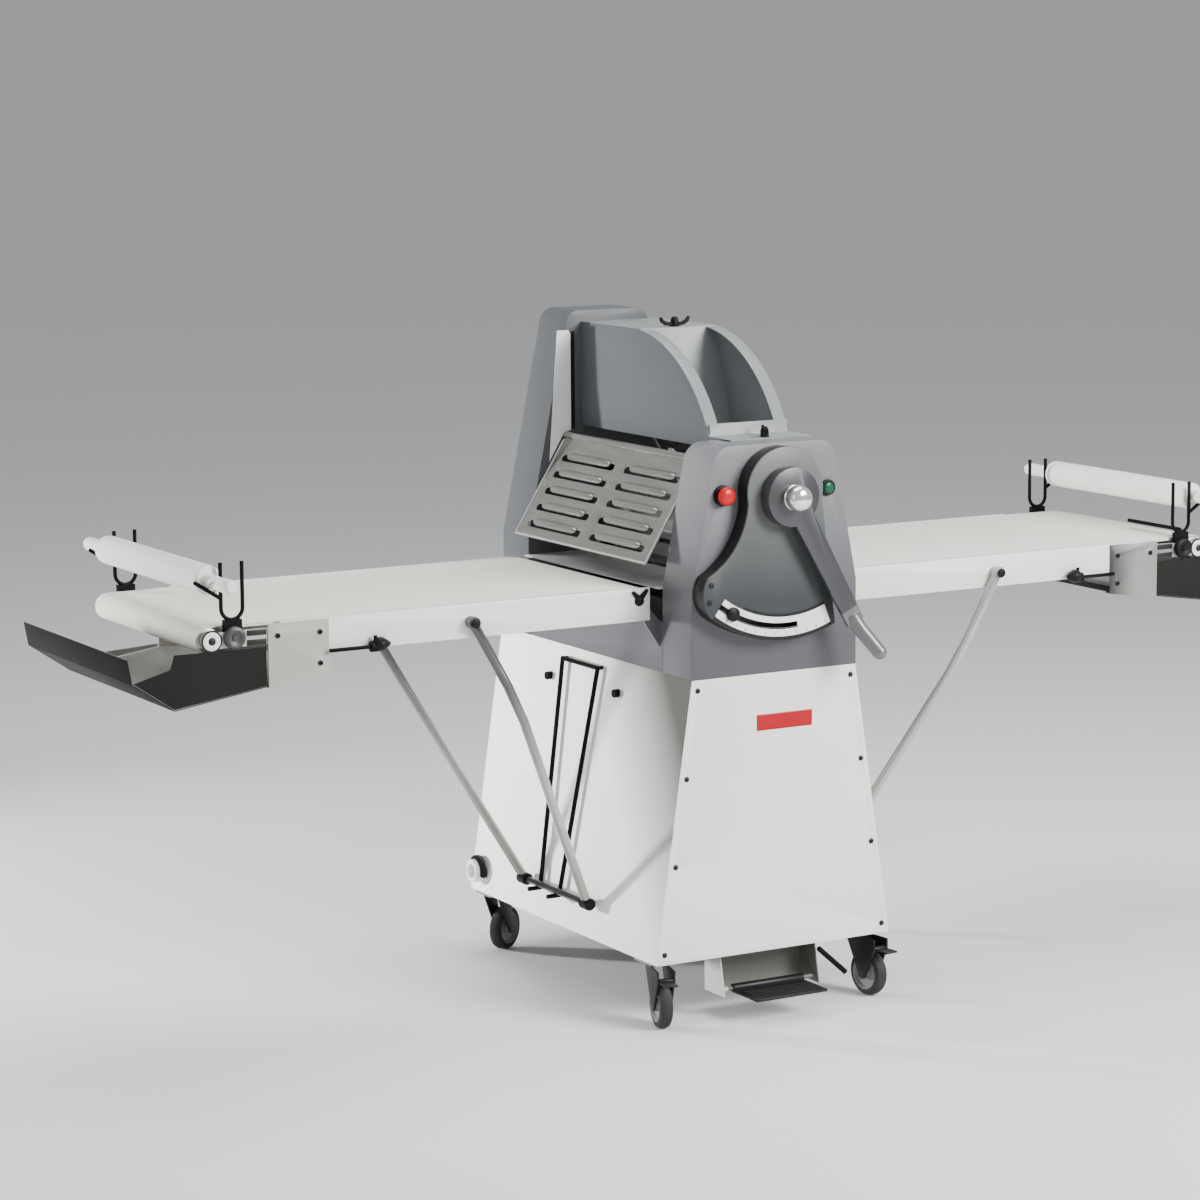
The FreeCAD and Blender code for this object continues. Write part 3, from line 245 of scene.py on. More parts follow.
class NodeGroups:
    """Shader node groups that several finishes share."""

    def __init__(self) -> None:
        """Build each group once."""
        self.grains = {Grain.PAINT: self._grain_group("paint_grain", fine=22.0),
                       Grain.BRUSHED: self._grain_group("brushed_grain", fine=1.0),
                       Grain.CANVAS: self._canvas_group()}
        self.dust = self._dust_group()
        self.zone = self._zone_group()

    @staticmethod
    def _start(name: str, inputs: dict[str, str], outputs: dict[str, str]) -> tuple:
        """Make an empty group with its sockets.

        Args:
            name: Name of the group.
            inputs: Kind of each input, by its name.
            outputs: Kind of each output, by its name.

        Returns:
            Wiring of the group, the sockets of its inputs and its output node.
        """
        tree = bpy.data.node_groups.new(name, "ShaderNodeTree")
        for way, sockets in (("INPUT", inputs), ("OUTPUT", outputs)):
            for label, kind in sockets.items():
                tree.interface.new_socket(label, in_out=way, socket_type="NodeSocket" + kind)
        given = tree.nodes.new("NodeGroupInput")
        return Wiring(tree), given.outputs, tree.nodes.new("NodeGroupOutput")

    @staticmethod
    def _tone(wires: Wiring, given: Any, detail: float) -> tuple[Socket, Socket]:
        """Cloudy tone, stretched along one way if asked.

        Args:
            wires: Wiring of the group.
            given: Sockets of its inputs.
            detail: Detail of the clouds.

        Returns:
            The stretched place on the piece and the colour there.
        """
        stretched = wires.add("VectorMath", {0: wires.place(), 1: given["Stretch"]}, operation="MULTIPLY")
        place = stretched.outputs[0]
        clouds = wires.noise(place, given["Scale"], detail)
        return place, wires.mix(clouds, given["Colour"], given["Tint"])

    def _grain_group(self, name: str, fine: float) -> bpy.types.NodeTree:
        """Cloudy tone, uneven gloss and fine relief.

        Args:
            name: Name of the group.
            fine: How much finer the relief is than the clouds.

        Returns:
            The group.
        """
        wires, given, out = self._start(name, GRAIN_IN, GRAIN_OUT)
        place, tone = self._tone(wires, given, detail=4.0)
        relief = wires.noise(place, wires.calc("MULTIPLY", given["Scale"], fine), detail=2.0)
        centred = wires.calc("SUBTRACT", relief, 0.5)
        gloss = wires.calc("MULTIPLY_ADD", centred, given["Spread"], given["Roughness"])
        wires.feed(out, {"Colour": tone, "Roughness": gloss, "Height": relief})
        return wires.tree

    def _canvas_group(self) -> bpy.types.NodeTree:
        """Plain weave of the conveyor belts, with faint stains.

        Returns:
            The group.
        """
        wires, given, out = self._start("canvas_weave", GRAIN_IN, GRAIN_OUT)
        threads = [wires.add("TexWave", {"Vector": wires.place(), "Scale": 160.0, "Distortion": 0.6},
                             bands_direction=way).outputs["Fac"] for way in ("X", "Y")]
        weave = wires.calc("MULTIPLY", *threads)
        _, tone = self._tone(wires, given, detail=6.0)
        gloss = wires.calc("MULTIPLY_ADD", weave, given["Spread"], given["Roughness"])
        wires.feed(out, {"Colour": tone, "Roughness": gloss, "Height": weave})
        return wires.tree

    def _dust_group(self) -> bpy.types.NodeTree:
        """Flour dust that settles on faces that look up.

        Returns:
            The group.
        """
        wires, given, out = self._start("flour_dust", {"Amount": "Float"}, {"Mask": "Float"})
        normal = wires.add("NewGeometry", {}).outputs["Normal"]
        rise = wires.add("SeparateXYZ", {0: normal}).outputs["Z"]
        up = wires.add("MapRange", {"Value": rise, "From Min": 0.3, "From Max": 0.95}).outputs[0]
        both = wires.calc("MULTIPLY", up, wires.noise(wires.place(), scale=9.0, detail=6.0))
        wires.feed(out, {"Mask": wires.calc("MULTIPLY", both, given["Amount"])})
        return wires.tree

    def _zone_group(self) -> bpy.types.NodeTree:
        """Mask of what lies beyond a plane, rising from 0 at its edge to 1 over a fade.

        Returns:
            The group.
        """
        wires, given, out = self._start("beyond_plane", {"Axis": "Vector", "Edge": "Float", "Fade": "Float"},
                                        {"Mask": "Float"})
        along = wires.add("VectorMath", {0: wires.place(), 1: given["Axis"]}, operation="DOT_PRODUCT")
        past = wires.calc("SUBTRACT", along.outputs["Value"], given["Edge"])
        wires.feed(out, {"Mask": wires.calc("DIVIDE", past, given["Fade"], clamp=True)})
        return wires.tree


class Finishes:
    """Builds a material for each finish, once."""

    def __init__(self) -> None:
        """Make the shared groups and an empty store."""
        self.groups = NodeGroups()
        self.made: dict[str, bpy.types.Material] = {}

    def material(self, finish: Finish) -> bpy.types.Material:
        """Material of a finish.

        Args:
            finish: The finish to build.

        Returns:
            Its material, made at the first call.
        """
        if finish.name not in self.made:
            self.made[finish.name] = self._build(finish)
        return self.made[finish.name]

    def dress(self, piece: Piece, finish: Finish) -> None:
        """Give a piece one finish all over."""
        piece.data.materials.clear()
        piece.data.materials.append(self.material(finish))

    def _build(self, finish: Finish) -> bpy.types.Material:
        """Build the node tree of a finish.

        Args:
            finish: The finish to build.

        Returns:
            The new material.
        """
        material = bpy.data.materials.new(finish.name)
        material.use_nodes = True
        wires = Wiring(material.node_tree)
        grain = {"Colour": (*finish.colour, 1.0), "Tint": (*finish.tint, 1.0), "Scale": finish.scale,
                 "Stretch": finish.stretch, "Roughness": finish.roughness, "Spread": finish.spread}
        surface = wires.add("Group", grain, node_tree=self.groups.grains[finish.grain]).outputs
        colour = surface["Colour"]
        for zone in finish.zones:
            plane = {"Axis": zone.axis, "Edge": zone.edge, "Fade": zone.fade}
            mask = wires.add("Group", plane, node_tree=self.groups.zone).outputs["Mask"]
            colour = wires.mix(mask, colour, (*zone.colour, 1.0))
        if finish.dust:
            mask = wires.add("Group", {"Amount": finish.dust}, node_tree=self.groups.dust).outputs["Mask"]
            colour = wires.mix(mask, colour, (*FLOUR_COLOUR, 1.0))
        relief = {"Strength": finish.bump, "Distance": BUMP_DISTANCE, "Height": surface["Height"]}
        normal = wires.add("Bump", relief).outputs["Normal"]
        wires.feed(material.node_tree.nodes["Principled BSDF"], {
            "Base Color": colour, "Roughness": surface["Roughness"], "Normal": normal,
            "Metallic": finish.metallic, "Coat Weight": finish.coat, "Coat Roughness": COAT_ROUGHNESS,
            "Specular IOR Level": finish.specular})
        return material


WHITE_PAINT = Finish("cabinet_white_paint", (0.83, 0.82, 0.79), (0.77, 0.765, 0.73), 0.42, scale=3.0,
                     coat=0.15)
# Side panels: the dark zone towards their upper front edges is painted shade, where less light falls.
SIDE_PAINT_WITH_SHADE = Finish("side_panel_paint", (0.86, 0.855, 0.825), (0.80, 0.80, 0.77), 0.65, scale=3.0,
                    specular=0.15, zones=(Zone((0.0, -0.8, 0.6), 0.35, (0.10, 0.10, 0.094), 0.29),))
SKIRT_PAINT = Finish("table_skirt_paint", (0.84, 0.835, 0.805), (0.78, 0.775, 0.74), 0.4, scale=4.0,
                     coat=0.15)
# Head housing and bed: the lighter zone over their upper parts is painted light, where more light falls on
# the top.
HEAD_PAINT_WITH_LIGHT = Finish("head_grey_paint", (0.074, 0.076, 0.084), (0.059, 0.061, 0.068), 0.36, scale=5.0,
                    coat=0.05, specular=0.4,
                    zones=(Zone((0.0, 0.0, 1.0), 0.80, (0.165, 0.17, 0.179), 0.32),))
REAR_PAINT = Finish("rear_grey_paint", (0.088, 0.094, 0.101), (0.073, 0.078, 0.084), 0.42, scale=5.0,
                    specular=0.3)
# Dial box: the lighter zone over its upper part is painted light; faces behind its front are near black.
DIAL_PAINT_WITH_LIGHT = Finish("dial_grey_paint", (0.037, 0.040, 0.042), (0.030, 0.033, 0.035), 0.36, scale=7.0,
                    specular=0.3,
                    zones=(Zone((0.0, 0.0, 1.0), 0.90, (0.122, 0.127, 0.13), 0.24),
                           Zone((0.0, 1.0, 0.0), DIAL_FACE + 0.004, (0.008, 0.008, 0.0085))))
PLATE_STEEL = Finish("satin_plate_steel", (0.62, 0.62, 0.60), (0.52, 0.52, 0.50), 0.5, metallic=0.2,
                     scale=10.0)
END_WHITE = Finish("end_plate_white", (0.90, 0.905, 0.90), (0.84, 0.845, 0.84), 0.4, scale=5.0)
BIN_PAINT = Finish("bin_grey_paint", (0.090, 0.099, 0.105), (0.077, 0.085, 0.090), 0.48, scale=5.0,
                   specular=0.25)
BIN_INSIDE = Finish("bin_inside_paint", (0.235, 0.244, 0.249), (0.18, 0.187, 0.192), 0.5, scale=7.0,
                    dust=0.1)
# Bin rim and back wall: this lighter tone is painted light, and on the eased edges it is a painted
# highlight.
BIN_PAINTED_LIGHT = Finish("bin_light_paint", (0.235, 0.249, 0.254), (0.195, 0.208, 0.212), 0.4, scale=6.0)
# Gap lever: the lighter zone over the grip is a painted highlight.
LEVER_METAL_WITH_HIGHLIGHT = Finish("lever_cast_alloy", (0.066, 0.068, 0.072), (0.044, 0.046, 0.049), 0.3, metallic=0.4,
                     scale=12.0, zones=(Zone((0.455, 0.0, -0.89), -0.711, (0.16, 0.16, 0.168), 0.003),))
CAP_METAL = Finish("bright_cap", (0.86, 0.87, 0.86), (0.78, 0.79, 0.78), 0.16, metallic=0.9, scale=10.0,
                   bump=0.01)
STEEL = Finish("brushed_stainless", (0.56, 0.55, 0.525), (0.47, 0.465, 0.44), 0.3, metallic=0.85,
               grain=Grain.BRUSHED, scale=5.0, stretch=(30.0, 1.0, 30.0), bump=0.04, dust=0.25)
GUARD_STEEL = Finish("guard_stainless", (0.38, 0.38, 0.355), (0.215, 0.215, 0.20), 0.28, metallic=0.75,
                     grain=Grain.BRUSHED, scale=6.0, stretch=(14.0, 1.5, 14.0), bump=0.05)
HEM_STEEL = Finish("hem_bright_steel", (0.80, 0.80, 0.78), (0.68, 0.68, 0.66), 0.22, metallic=0.8,
                   scale=14.0)
ROLL_METAL = Finish("polished_roll", (0.72, 0.72, 0.73), (0.66, 0.66, 0.67), 0.14, metallic=1.0,
                    grain=Grain.BRUSHED, scale=8.0, stretch=(1.0, 40.0, 1.0), bump=0.01)
ALLOY = Finish("plain_alloy", (0.55, 0.55, 0.55), (0.47, 0.47, 0.47), 0.35, metallic=0.8, scale=12.0)
BELT_CANVAS = Finish("belt_canvas", (0.74, 0.735, 0.67), (0.67, 0.665, 0.60), 0.82, grain=Grain.CANVAS,
                     scale=4.0, stretch=(0.7, 2.0, 1.0), spread=0.1, bump=0.12, dust=0.3)
# Trays: the near-black tone of their outer faces is painted shade; faces that look up or into the tray get
# the bare steel below.
TRAY_PAINTED_SHADE = Finish("tray_dark_grey", (0.020, 0.022, 0.020), (0.012, 0.013, 0.012), 0.6, scale=6.0,
                   specular=0.04)
TRAY_INSIDE = Finish("tray_bare_steel", (0.30, 0.30, 0.295), (0.23, 0.23, 0.225), 0.4, metallic=0.3,
                     scale=6.0, dust=0.15)
BRACKET_GREY = Finish("bracket_warm_grey", (0.40, 0.396, 0.356), (0.34, 0.336, 0.30), 0.42, scale=9.0)
# Right end brackets: the dark zone at their inner end, fading outward, is painted shade.
BRACKET_STEEL_WITH_SHADE = Finish("bracket_dull_steel", (0.33, 0.325, 0.305), (0.25, 0.245, 0.23), 0.36, metallic=0.5,
                       scale=9.0, zones=(Zone((-1.0, 0.0, 0.0), -1.045, (0.05, 0.05, 0.048), 0.07),))
# Pedal bracket: its dark tone is painted shade, and the lighter zone on its left cheek is painted light.
PEDAL_SHADE_AND_LIGHT = Finish("pedal_bracket_grey", (0.13, 0.126, 0.11), (0.10, 0.097, 0.085), 0.45, scale=9.0,
                    zones=(Zone((-1.0, 0.0, 0.0), 0.1, (0.50, 0.495, 0.47)),))
CLAMP_GREY = Finish("clamp_dark_grey", (0.06, 0.061, 0.06), (0.04, 0.041, 0.04), 0.42, metallic=0.3,
                    scale=30.0)
EYE_WHITE = Finish("bearing_eye_white", (0.82, 0.82, 0.79), (0.75, 0.75, 0.72), 0.4, scale=30.0)
# Struts: the dark zone over the left strut's upper part is painted shade; below the clamps' height the
# struts are near black.
STRUT_GREY_WITH_SHADE = Finish("strut_light_grey", (0.46, 0.46, 0.44), (0.38, 0.38, 0.36), 0.34, scale=9.0,
                    metallic=0.3,
                    zones=(Zone((-0.6, 0.0, 0.8), 0.66, (0.10, 0.10, 0.097), 0.28),
                           Zone((0.0, 0.0, -1.0), -0.2325, (0.010, 0.010, 0.0105))))
BLACK_WIRE = Finish("black_wire_coat", (0.004, 0.004, 0.004), (0.007, 0.007, 0.007), 0.5, scale=25.0,
                    specular=0.08)
BLACK_STEEL = Finish("black_caster_steel", (0.007, 0.007, 0.0075), (0.014, 0.014, 0.0145), 0.42, scale=20.0,
                     specular=0.3)
BLACK_KNOB = Finish("black_moulded_knob", (0.004, 0.004, 0.0042), (0.008, 0.008, 0.0082), 0.45, scale=60.0,
                    bump=0.1, specular=0.16)
TYRE = Finish("caster_tyre_rubber", (0.020, 0.020, 0.021), (0.036, 0.036, 0.036), 0.7, scale=40.0, bump=0.15,
              specular=0.2, dust=0.08)
WHEEL_HUB = Finish("caster_hub_plastic", (0.20, 0.20, 0.20), (0.15, 0.15, 0.15), 0.45, scale=30.0)
PIN_WHITE = Finish("rolling_pin_white", (0.82, 0.815, 0.765), (0.76, 0.755, 0.705), 0.46, scale=9.0,
                   stretch=(1.0, 0.15, 1.0), bump=0.04)
RED_BUTTON = Finish("red_button_plastic", (0.50, 0.003, 0.006), (0.42, 0.002, 0.005), 0.3, scale=40.0,
                    specular=0.35)
GREEN_BUTTON = Finish("green_button_plastic", (0.001, 0.085, 0.036), (0.001, 0.06, 0.025), 0.3, scale=40.0,
                      specular=0.35)
RED_PLATE = Finish("plain_red_plate", (0.40, 0.005, 0.011), (0.33, 0.004, 0.009), 0.36, scale=30.0,
                   specular=0.25)
SCALE_WHITE = Finish("dial_scale_white", (0.80, 0.81, 0.81), (0.74, 0.75, 0.75), 0.4, scale=20.0)
SCALE_BLACK = Finish("dial_scale_black", (0.006, 0.006, 0.0065), (0.011, 0.011, 0.0115), 0.45, scale=30.0,
                     specular=0.25)
INLET_WHITE = Finish("inlet_white_plastic", (0.82, 0.82, 0.805), (0.76, 0.76, 0.745), 0.35, scale=30.0)
FRAME_STEEL = Finish("inner_frame_steel", (0.18, 0.18, 0.185), (0.14, 0.14, 0.145), 0.5, scale=10.0)
MOTOR_PAINT = Finish("motor_blue_grey", (0.12, 0.14, 0.17), (0.09, 0.11, 0.14), 0.5, scale=14.0)
PEDAL_RUBBER = Finish("pedal_rubber", (0.010, 0.010, 0.010), (0.02, 0.02, 0.02), 0.65, scale=40.0, bump=0.15,
                      specular=0.25)


class Bench:
    """Edit-mode operators that shape the new pieces, and the rules for handing them over."""

    def __init__(self, frame: dict, finishes: Finishes) -> None:
        """Keep the frame and the finishes at hand."""
        self.frame = frame
        self.finishes = finishes

    @staticmethod
    def clear() -> None:
        """Leave edit mode and deselect everything."""
        if bpy.context.object and bpy.context.object.mode != "OBJECT":
            bpy.ops.object.mode_set(mode="OBJECT")
        bpy.ops.object.select_all(action="DESELECT")

    def take(self, piece: Piece) -> None:
        """Make a piece the only selected and active one."""
        self.clear()
        piece.select_set(True)
        bpy.context.view_layer.objects.active = piece

    def settle(self, piece: Piece) -> None:
        """Move a piece's place and turn into its mesh."""
        self.take(piece)
        bpy.ops.object.transform_apply(location=True, rotation=True, scale=True)

    def edit_faces(self, piece: Piece, test: FaceTest) -> None:
        """Open a piece in edit mode with some faces selected.

        Args:
            piece: The object to open.
            test: Says from a face's centre and normal whether it is selected.
        """
        self.take(piece)
        mesh = piece.data
        for item in (*mesh.vertices, *mesh.edges):
            item.select = False
        for face in mesh.polygons:
            face.select = test(face.center, face.normal)
        bpy.context.tool_settings.mesh_select_mode = (False, False, True)
        bpy.ops.object.mode_set(mode="EDIT")

    def edit_all(self, piece: Piece) -> None:
        """Open a piece in edit mode with all of it selected."""
        self.take(piece)
        bpy.context.tool_settings.mesh_select_mode = (True, False, False)
        bpy.ops.object.mode_set(mode="EDIT")
        bpy.ops.mesh.select_all(action="SELECT")

    @staticmethod
    def close(merge: float = 0.0) -> None:
        """Merge near points, turn all faces outward and leave edit mode.

        Args:
            merge: Distance of the points to merge, or 0 for none.
        """
        bpy.ops.mesh.select_all(action="SELECT")
        if merge:
            bpy.ops.mesh.remove_doubles(threshold=merge)
            bpy.ops.mesh.select_all(action="SELECT")
        bpy.ops.mesh.normals_make_consistent(inside=False)
        bpy.ops.object.mode_set(mode="OBJECT")

    def smooth(self, piece: Piece, degrees: float = SMOOTH_ANGLE) -> None:
        """Shade a piece smooth up to an angle between faces."""
        self.take(piece)
        bpy.ops.object.shade_smooth_by_angle(angle=math.radians(degrees))

    def ease_edges(self, piece: Piece, width: float, segments: int = 2) -> None:
        """Round a piece's sharp edges with an applied Bevel modifier.

        Args:
            piece: The object to round.
            width: Width of the rounding in metres.
            segments: Number of faces across it.
        """
        self.take(piece)
        bevel = piece.modifiers.new("eased_edges", "BEVEL")
        bevel.width = width
        bevel.segments = segments
        bevel.limit_method = "ANGLE"
        bevel.angle_limit = math.radians(SHARP_ANGLE)
        bevel.use_clamp_overlap = True
        bpy.ops.object.modifier_apply(modifier=bevel.name)

    def cut(self, piece: Piece, place: Point, outward: Point) -> None:
        """Cut a piece at a plane and close the cut.

        Args:
            piece: The object to cut.
            place: Point on the plane.
            outward: Side of the plane that goes.
        """
        self.edit_all(piece)
        bpy.ops.mesh.bisect(plane_co=place, plane_no=outward, use_fill=True, clear_outer=True)
        bpy.ops.object.mode_set(mode="OBJECT")

    def block(self, name: str, low: Point, high: Point, edge: float = 0.0006) -> Piece:
        """Box with eased edges between two corners.

        Args:
            name: Name of the piece.
            low: Lowest corner.
            high: Highest corner.
            edge: Width of the eased edges.

        Returns:
            The new object.
        """
        self.clear()
        middle = [(a + b) / 2 for a, b in zip(low, high)]
        bpy.ops.mesh.primitive_cube_add(size=1.0, location=middle)
        piece = bpy.context.object
        piece.name = piece.data.name = name
        piece.scale = [b - a for a, b in zip(low, high)]
        self.settle(piece)
        self.ease_edges(piece, edge)
        self.smooth(piece)
        return piece

    def draw(self, name: str, points: Sequence[Point]) -> Piece:
        """Open a new piece in edit mode: a line through points, all of it selected.

        Args:
            name: Name of the piece.
            points: Points of the line in order.

        Returns:
            The new object.
        """
        self.clear()
        bpy.ops.mesh.primitive_plane_add(size=SEED_SIZE, location=ORIGIN)
        piece = bpy.context.object
        piece.name = piece.data.name = name
        self.edit_all(piece)
        bpy.ops.mesh.merge(type="CENTER")
        bpy.ops.transform.translate(value=points[0])
        for a, b in zip(points, points[1:]):
            step = [q - p for p, q in zip(a, b)]
            bpy.ops.mesh.extrude_region_move(TRANSFORM_OT_translate={"value": step})
        bpy.ops.mesh.select_all(action="SELECT")
        return piece

    def lathe(self, name: str, profile: Profile, origin: Point, axis: Point, steps: int = 28) -> Piece:
        """Turned piece, spun from a profile in edit mode.

        Args:
            name: Name of the piece.
            profile: Points as radius and distance along the axis.
            origin: Where the distance is zero.
            axis: Direction of the axis.
            steps: Number of faces around.

        Returns:
            The new object.
        """
        piece = self.draw(name, [(radius, 0.0, height) for radius, height in profile])
        bpy.ops.mesh.spin(steps=steps, angle=math.tau, center=ORIGIN, axis=UP)
        self.close(MERGE_GAP)
        piece.rotation_mode = "QUATERNION"
        piece.rotation_quaternion = Vector(axis).to_track_quat("Z", "Y")
        piece.location = origin
        self.settle(piece)
        piece.rotation_mode = "XYZ"
        self.smooth(piece)
        return piece

    def rod(self, name: str, start: Point, end: Point, radius: float, steps: int = 16) -> Piece:
        """Round rod with eased ends between two points.

        Args:
            name: Name of the piece.
            start: Middle of the first end.
            end: Middle of the other end.
            radius: Radius of the rod.
            steps: Number of faces around.

        Returns:
            The new object.
        """
        along = Vector(end) - Vector(start)
        ease = 0.2 * radius
        profile = [(0.0, 0.0), (radius - ease, 0.0), (radius, ease), (radius, along.length - ease),
                   (radius - ease, along.length), (0.0, along.length)]
        return self.lathe(name, profile, start, tuple(along), steps)

    def plate(self, name: str, outline: Sequence[Point], thick: Point, edge: float = 0.0003) -> Piece:
        """Flat plate, extruded from an outline in edit mode.

        Args:
            name: Name of the piece.
            outline: Corners of the plate in order.
            thick: Way and distance that the plate is thick.
            edge: Width of the eased edges.

        Returns:
            The new object.
        """
        piece = self.draw(name, outline)
        bpy.ops.mesh.edge_face_add()
        bpy.ops.mesh.extrude_region_move(TRANSFORM_OT_translate={"value": thick})
        self.close()
        self.ease_edges(piece, edge, 1)
        self.smooth(piece)
        return piece

    def join(self, name: str, pieces: Sequence[Piece]) -> Piece:
        """Join pieces into one object.

        Args:
            name: Name of the result.
            pieces: Objects to join; the first one stays.

        Returns:
            The joined object.
        """
        self.take(pieces[0])
        for piece in pieces[1:]:
            piece.select_set(True)
        bpy.ops.object.join()
        pieces[0].name = pieces[0].data.name = name
        return pieces[0]

    def repeat(self, name: str, pattern: Piece, moves: Sequence[Matrix]) -> Piece:
        """Copies of a pattern, joined into one object in the pattern's stead.

        Args:
            name: Name of the result.
            pattern: The object to copy.
            moves: Where each copy goes, from where the pattern is.

        Returns:
            The joined object.
        """
        twins = []
        for moved in moves:
            twin = add_object(name, pattern.data.copy())
            twin.data.transform(moved)
            twins.append(twin)
        bpy.data.objects.remove(pattern)
        return self.join(name, twins)

    def eased_node(self, node: str, width: float, finish: Finish, slot: str, segments: int = 2) -> Piece:
        """Smooth-shaded copy of a CAD node with eased edges, which stands for the node.

        Args:
            node: Name of the CAD node.
            width: Width of the eased edges, or 0 for none.
            finish: Finish of the piece.
            slot: Material slot of the record.
            segments: Faces across an eased edge.

        Returns:
            The new object.
        """
        source = self.frame["nodes"][node]
        piece = add_object(node + "_eased", source.data.copy())
        self.edit_all(piece)
        bpy.ops.mesh.remove_doubles(threshold=NODE_MERGE_GAP)
        bpy.ops.mesh.select_all(action="SELECT")
        bpy.ops.mesh.dissolve_limited(angle_limit=math.radians(FLAT_ANGLE))
        bpy.ops.object.mode_set(mode="OBJECT")
        if width:
            self.ease_edges(piece, width, segments)
        self.smooth(piece)
        self.hand_over(piece, source["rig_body"], finish, slot, node)
        return piece

    def hand_over(self, piece: Piece, body: str, finish: Finish, slot: str, *stands_for: str) -> None:
        """Dress a finished piece and let it ride on its body.

        Args:
            piece: The finished object.
            body: CAD body that carries it.
            finish: Its finish.
            slot: Material slot of the record; not used.
            stands_for: CAD nodes that it replaces.
        """
        self.finishes.dress(piece, finish)
        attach(piece, body)
        if stands_for:
            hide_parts(*stands_for)
        LOG.info("piece %s rides on %s", piece.name, body)

    def dress_node(self, node: str, finish: Finish) -> None:
        """Give a CAD node its finish."""
        self.finishes.dress(self.frame["nodes"][node], finish)

    def dress_faces(self, piece: Piece, finish: Finish, test: FaceTest) -> None:
        """Give some faces of a dressed piece another finish.

        Args:
            piece: The dressed object.
            finish: The other finish.
            test: Says from a face's centre and normal whether it gets the finish.
        """
        materials = piece.data.materials
        materials.append(self.finishes.material(finish))
        for face in piece.data.polygons:
            if test(face.center, face.normal):
                face.material_index = len(materials) - 1


@dataclass
class Cabinet:
    """Tapered base with its panels, screws and plain plate."""

    bench: Bench
    bottom_z: float = 0.141
    top_z: float = 0.737
    bottom_half: float = 0.291
    top_half: float = 0.202
    panel_edge: float = 0.0008
    screw_inset: float = 0.016
    screw_margin: float = 0.022
    screw_rows: int = 4
    screw_r: float = 0.006
    screw_h: float = 0.003
    plate_low: Pair = (-0.045, 0.616)
    plate_high: Pair = (0.092, 0.650)
    plate_t: float = 0.0016
    plate_rim: float = 0.0025
    plate_sink: float = 0.0004

    def half(self, z: float) -> float:
        """Half-width of the cabinet at a height."""
        share = (self.top_z - z) / (self.top_z - self.bottom_z)
        return self.top_half + (self.bottom_half - self.top_half) * share

    def build(self) -> None:
        """Dress the panels and add what sits on them."""
        for node, finish in (("base_front_panel", WHITE_PAINT), ("base_back_panel", WHITE_PAINT),
                             ("base_side_panels", SIDE_PAINT_WITH_SHADE)):
            self.bench.eased_node(node, self.panel_edge, finish, "cabinet_white")
        self.bench.dress_node("base_frame", FRAME_STEEL)
        self.bench.eased_node("strut_rails", 0.0, BLACK_WIRE, "wire_black")
        self.screws()
        self.plate()

    def screws(self) -> None:
        """Domed screw heads with a round socket down the panel edges."""
        r, h = self.screw_r, self.screw_h
        profile = [(0.0, 0.4 * h), (0.35 * r, 0.4 * h), (0.35 * r, h), (0.7 * r, 0.85 * h),
                   (0.93 * r, 0.5 * h), (r, 0.0), (0.0, 0.0)]
        pattern = self.bench.lathe("screw_pattern", profile, ORIGIN, TO_FRONT, 20)
        step = (self.top_z - self.bottom_z - 2 * self.screw_margin) / (self.screw_rows - 1)
        back_turn = Matrix.Rotation(math.pi, 4, "Z")
        moves = []
        for row in range(self.screw_rows):
            z = self.bottom_z + self.screw_margin + row * step
            for side in Side:
                x = side.value * (self.half(z) - self.screw_inset)
                moves.append(Matrix.Translation((x, FRONT, z)))
                moves.append(Matrix.Translation((x, BACK, z)) @ back_turn)
        heads = self.bench.repeat("panel_screw_heads", pattern, moves)
        self.bench.smooth(heads)
        self.bench.hand_over(heads, MACHINE, BLACK_STEEL, "screw_black", "panel_screws")

    def plate(self) -> None:
        """Plain red plate on the front panel."""
        face_y = FRONT - self.plate_t
        (left, low), (right, high) = self.plate_low, self.plate_high
        plate = self.bench.block("front_plate", (left, face_y, low), (right, FRONT, high))

        def on_face(centre: Vector, normal: Vector) -> bool:
            """Whether a face is the plate's flat front."""
            return normal.y < -FACING and abs(centre.y - face_y) < ON_PLANE

        self.bench.edit_faces(plate, on_face)
        bpy.ops.mesh.inset(thickness=self.plate_rim, depth=-self.plate_sink)
        bpy.ops.object.mode_set(mode="OBJECT")
        self.bench.smooth(plate)
        self.bench.hand_over(plate, MACHINE, RED_PLATE, "red_plastic")


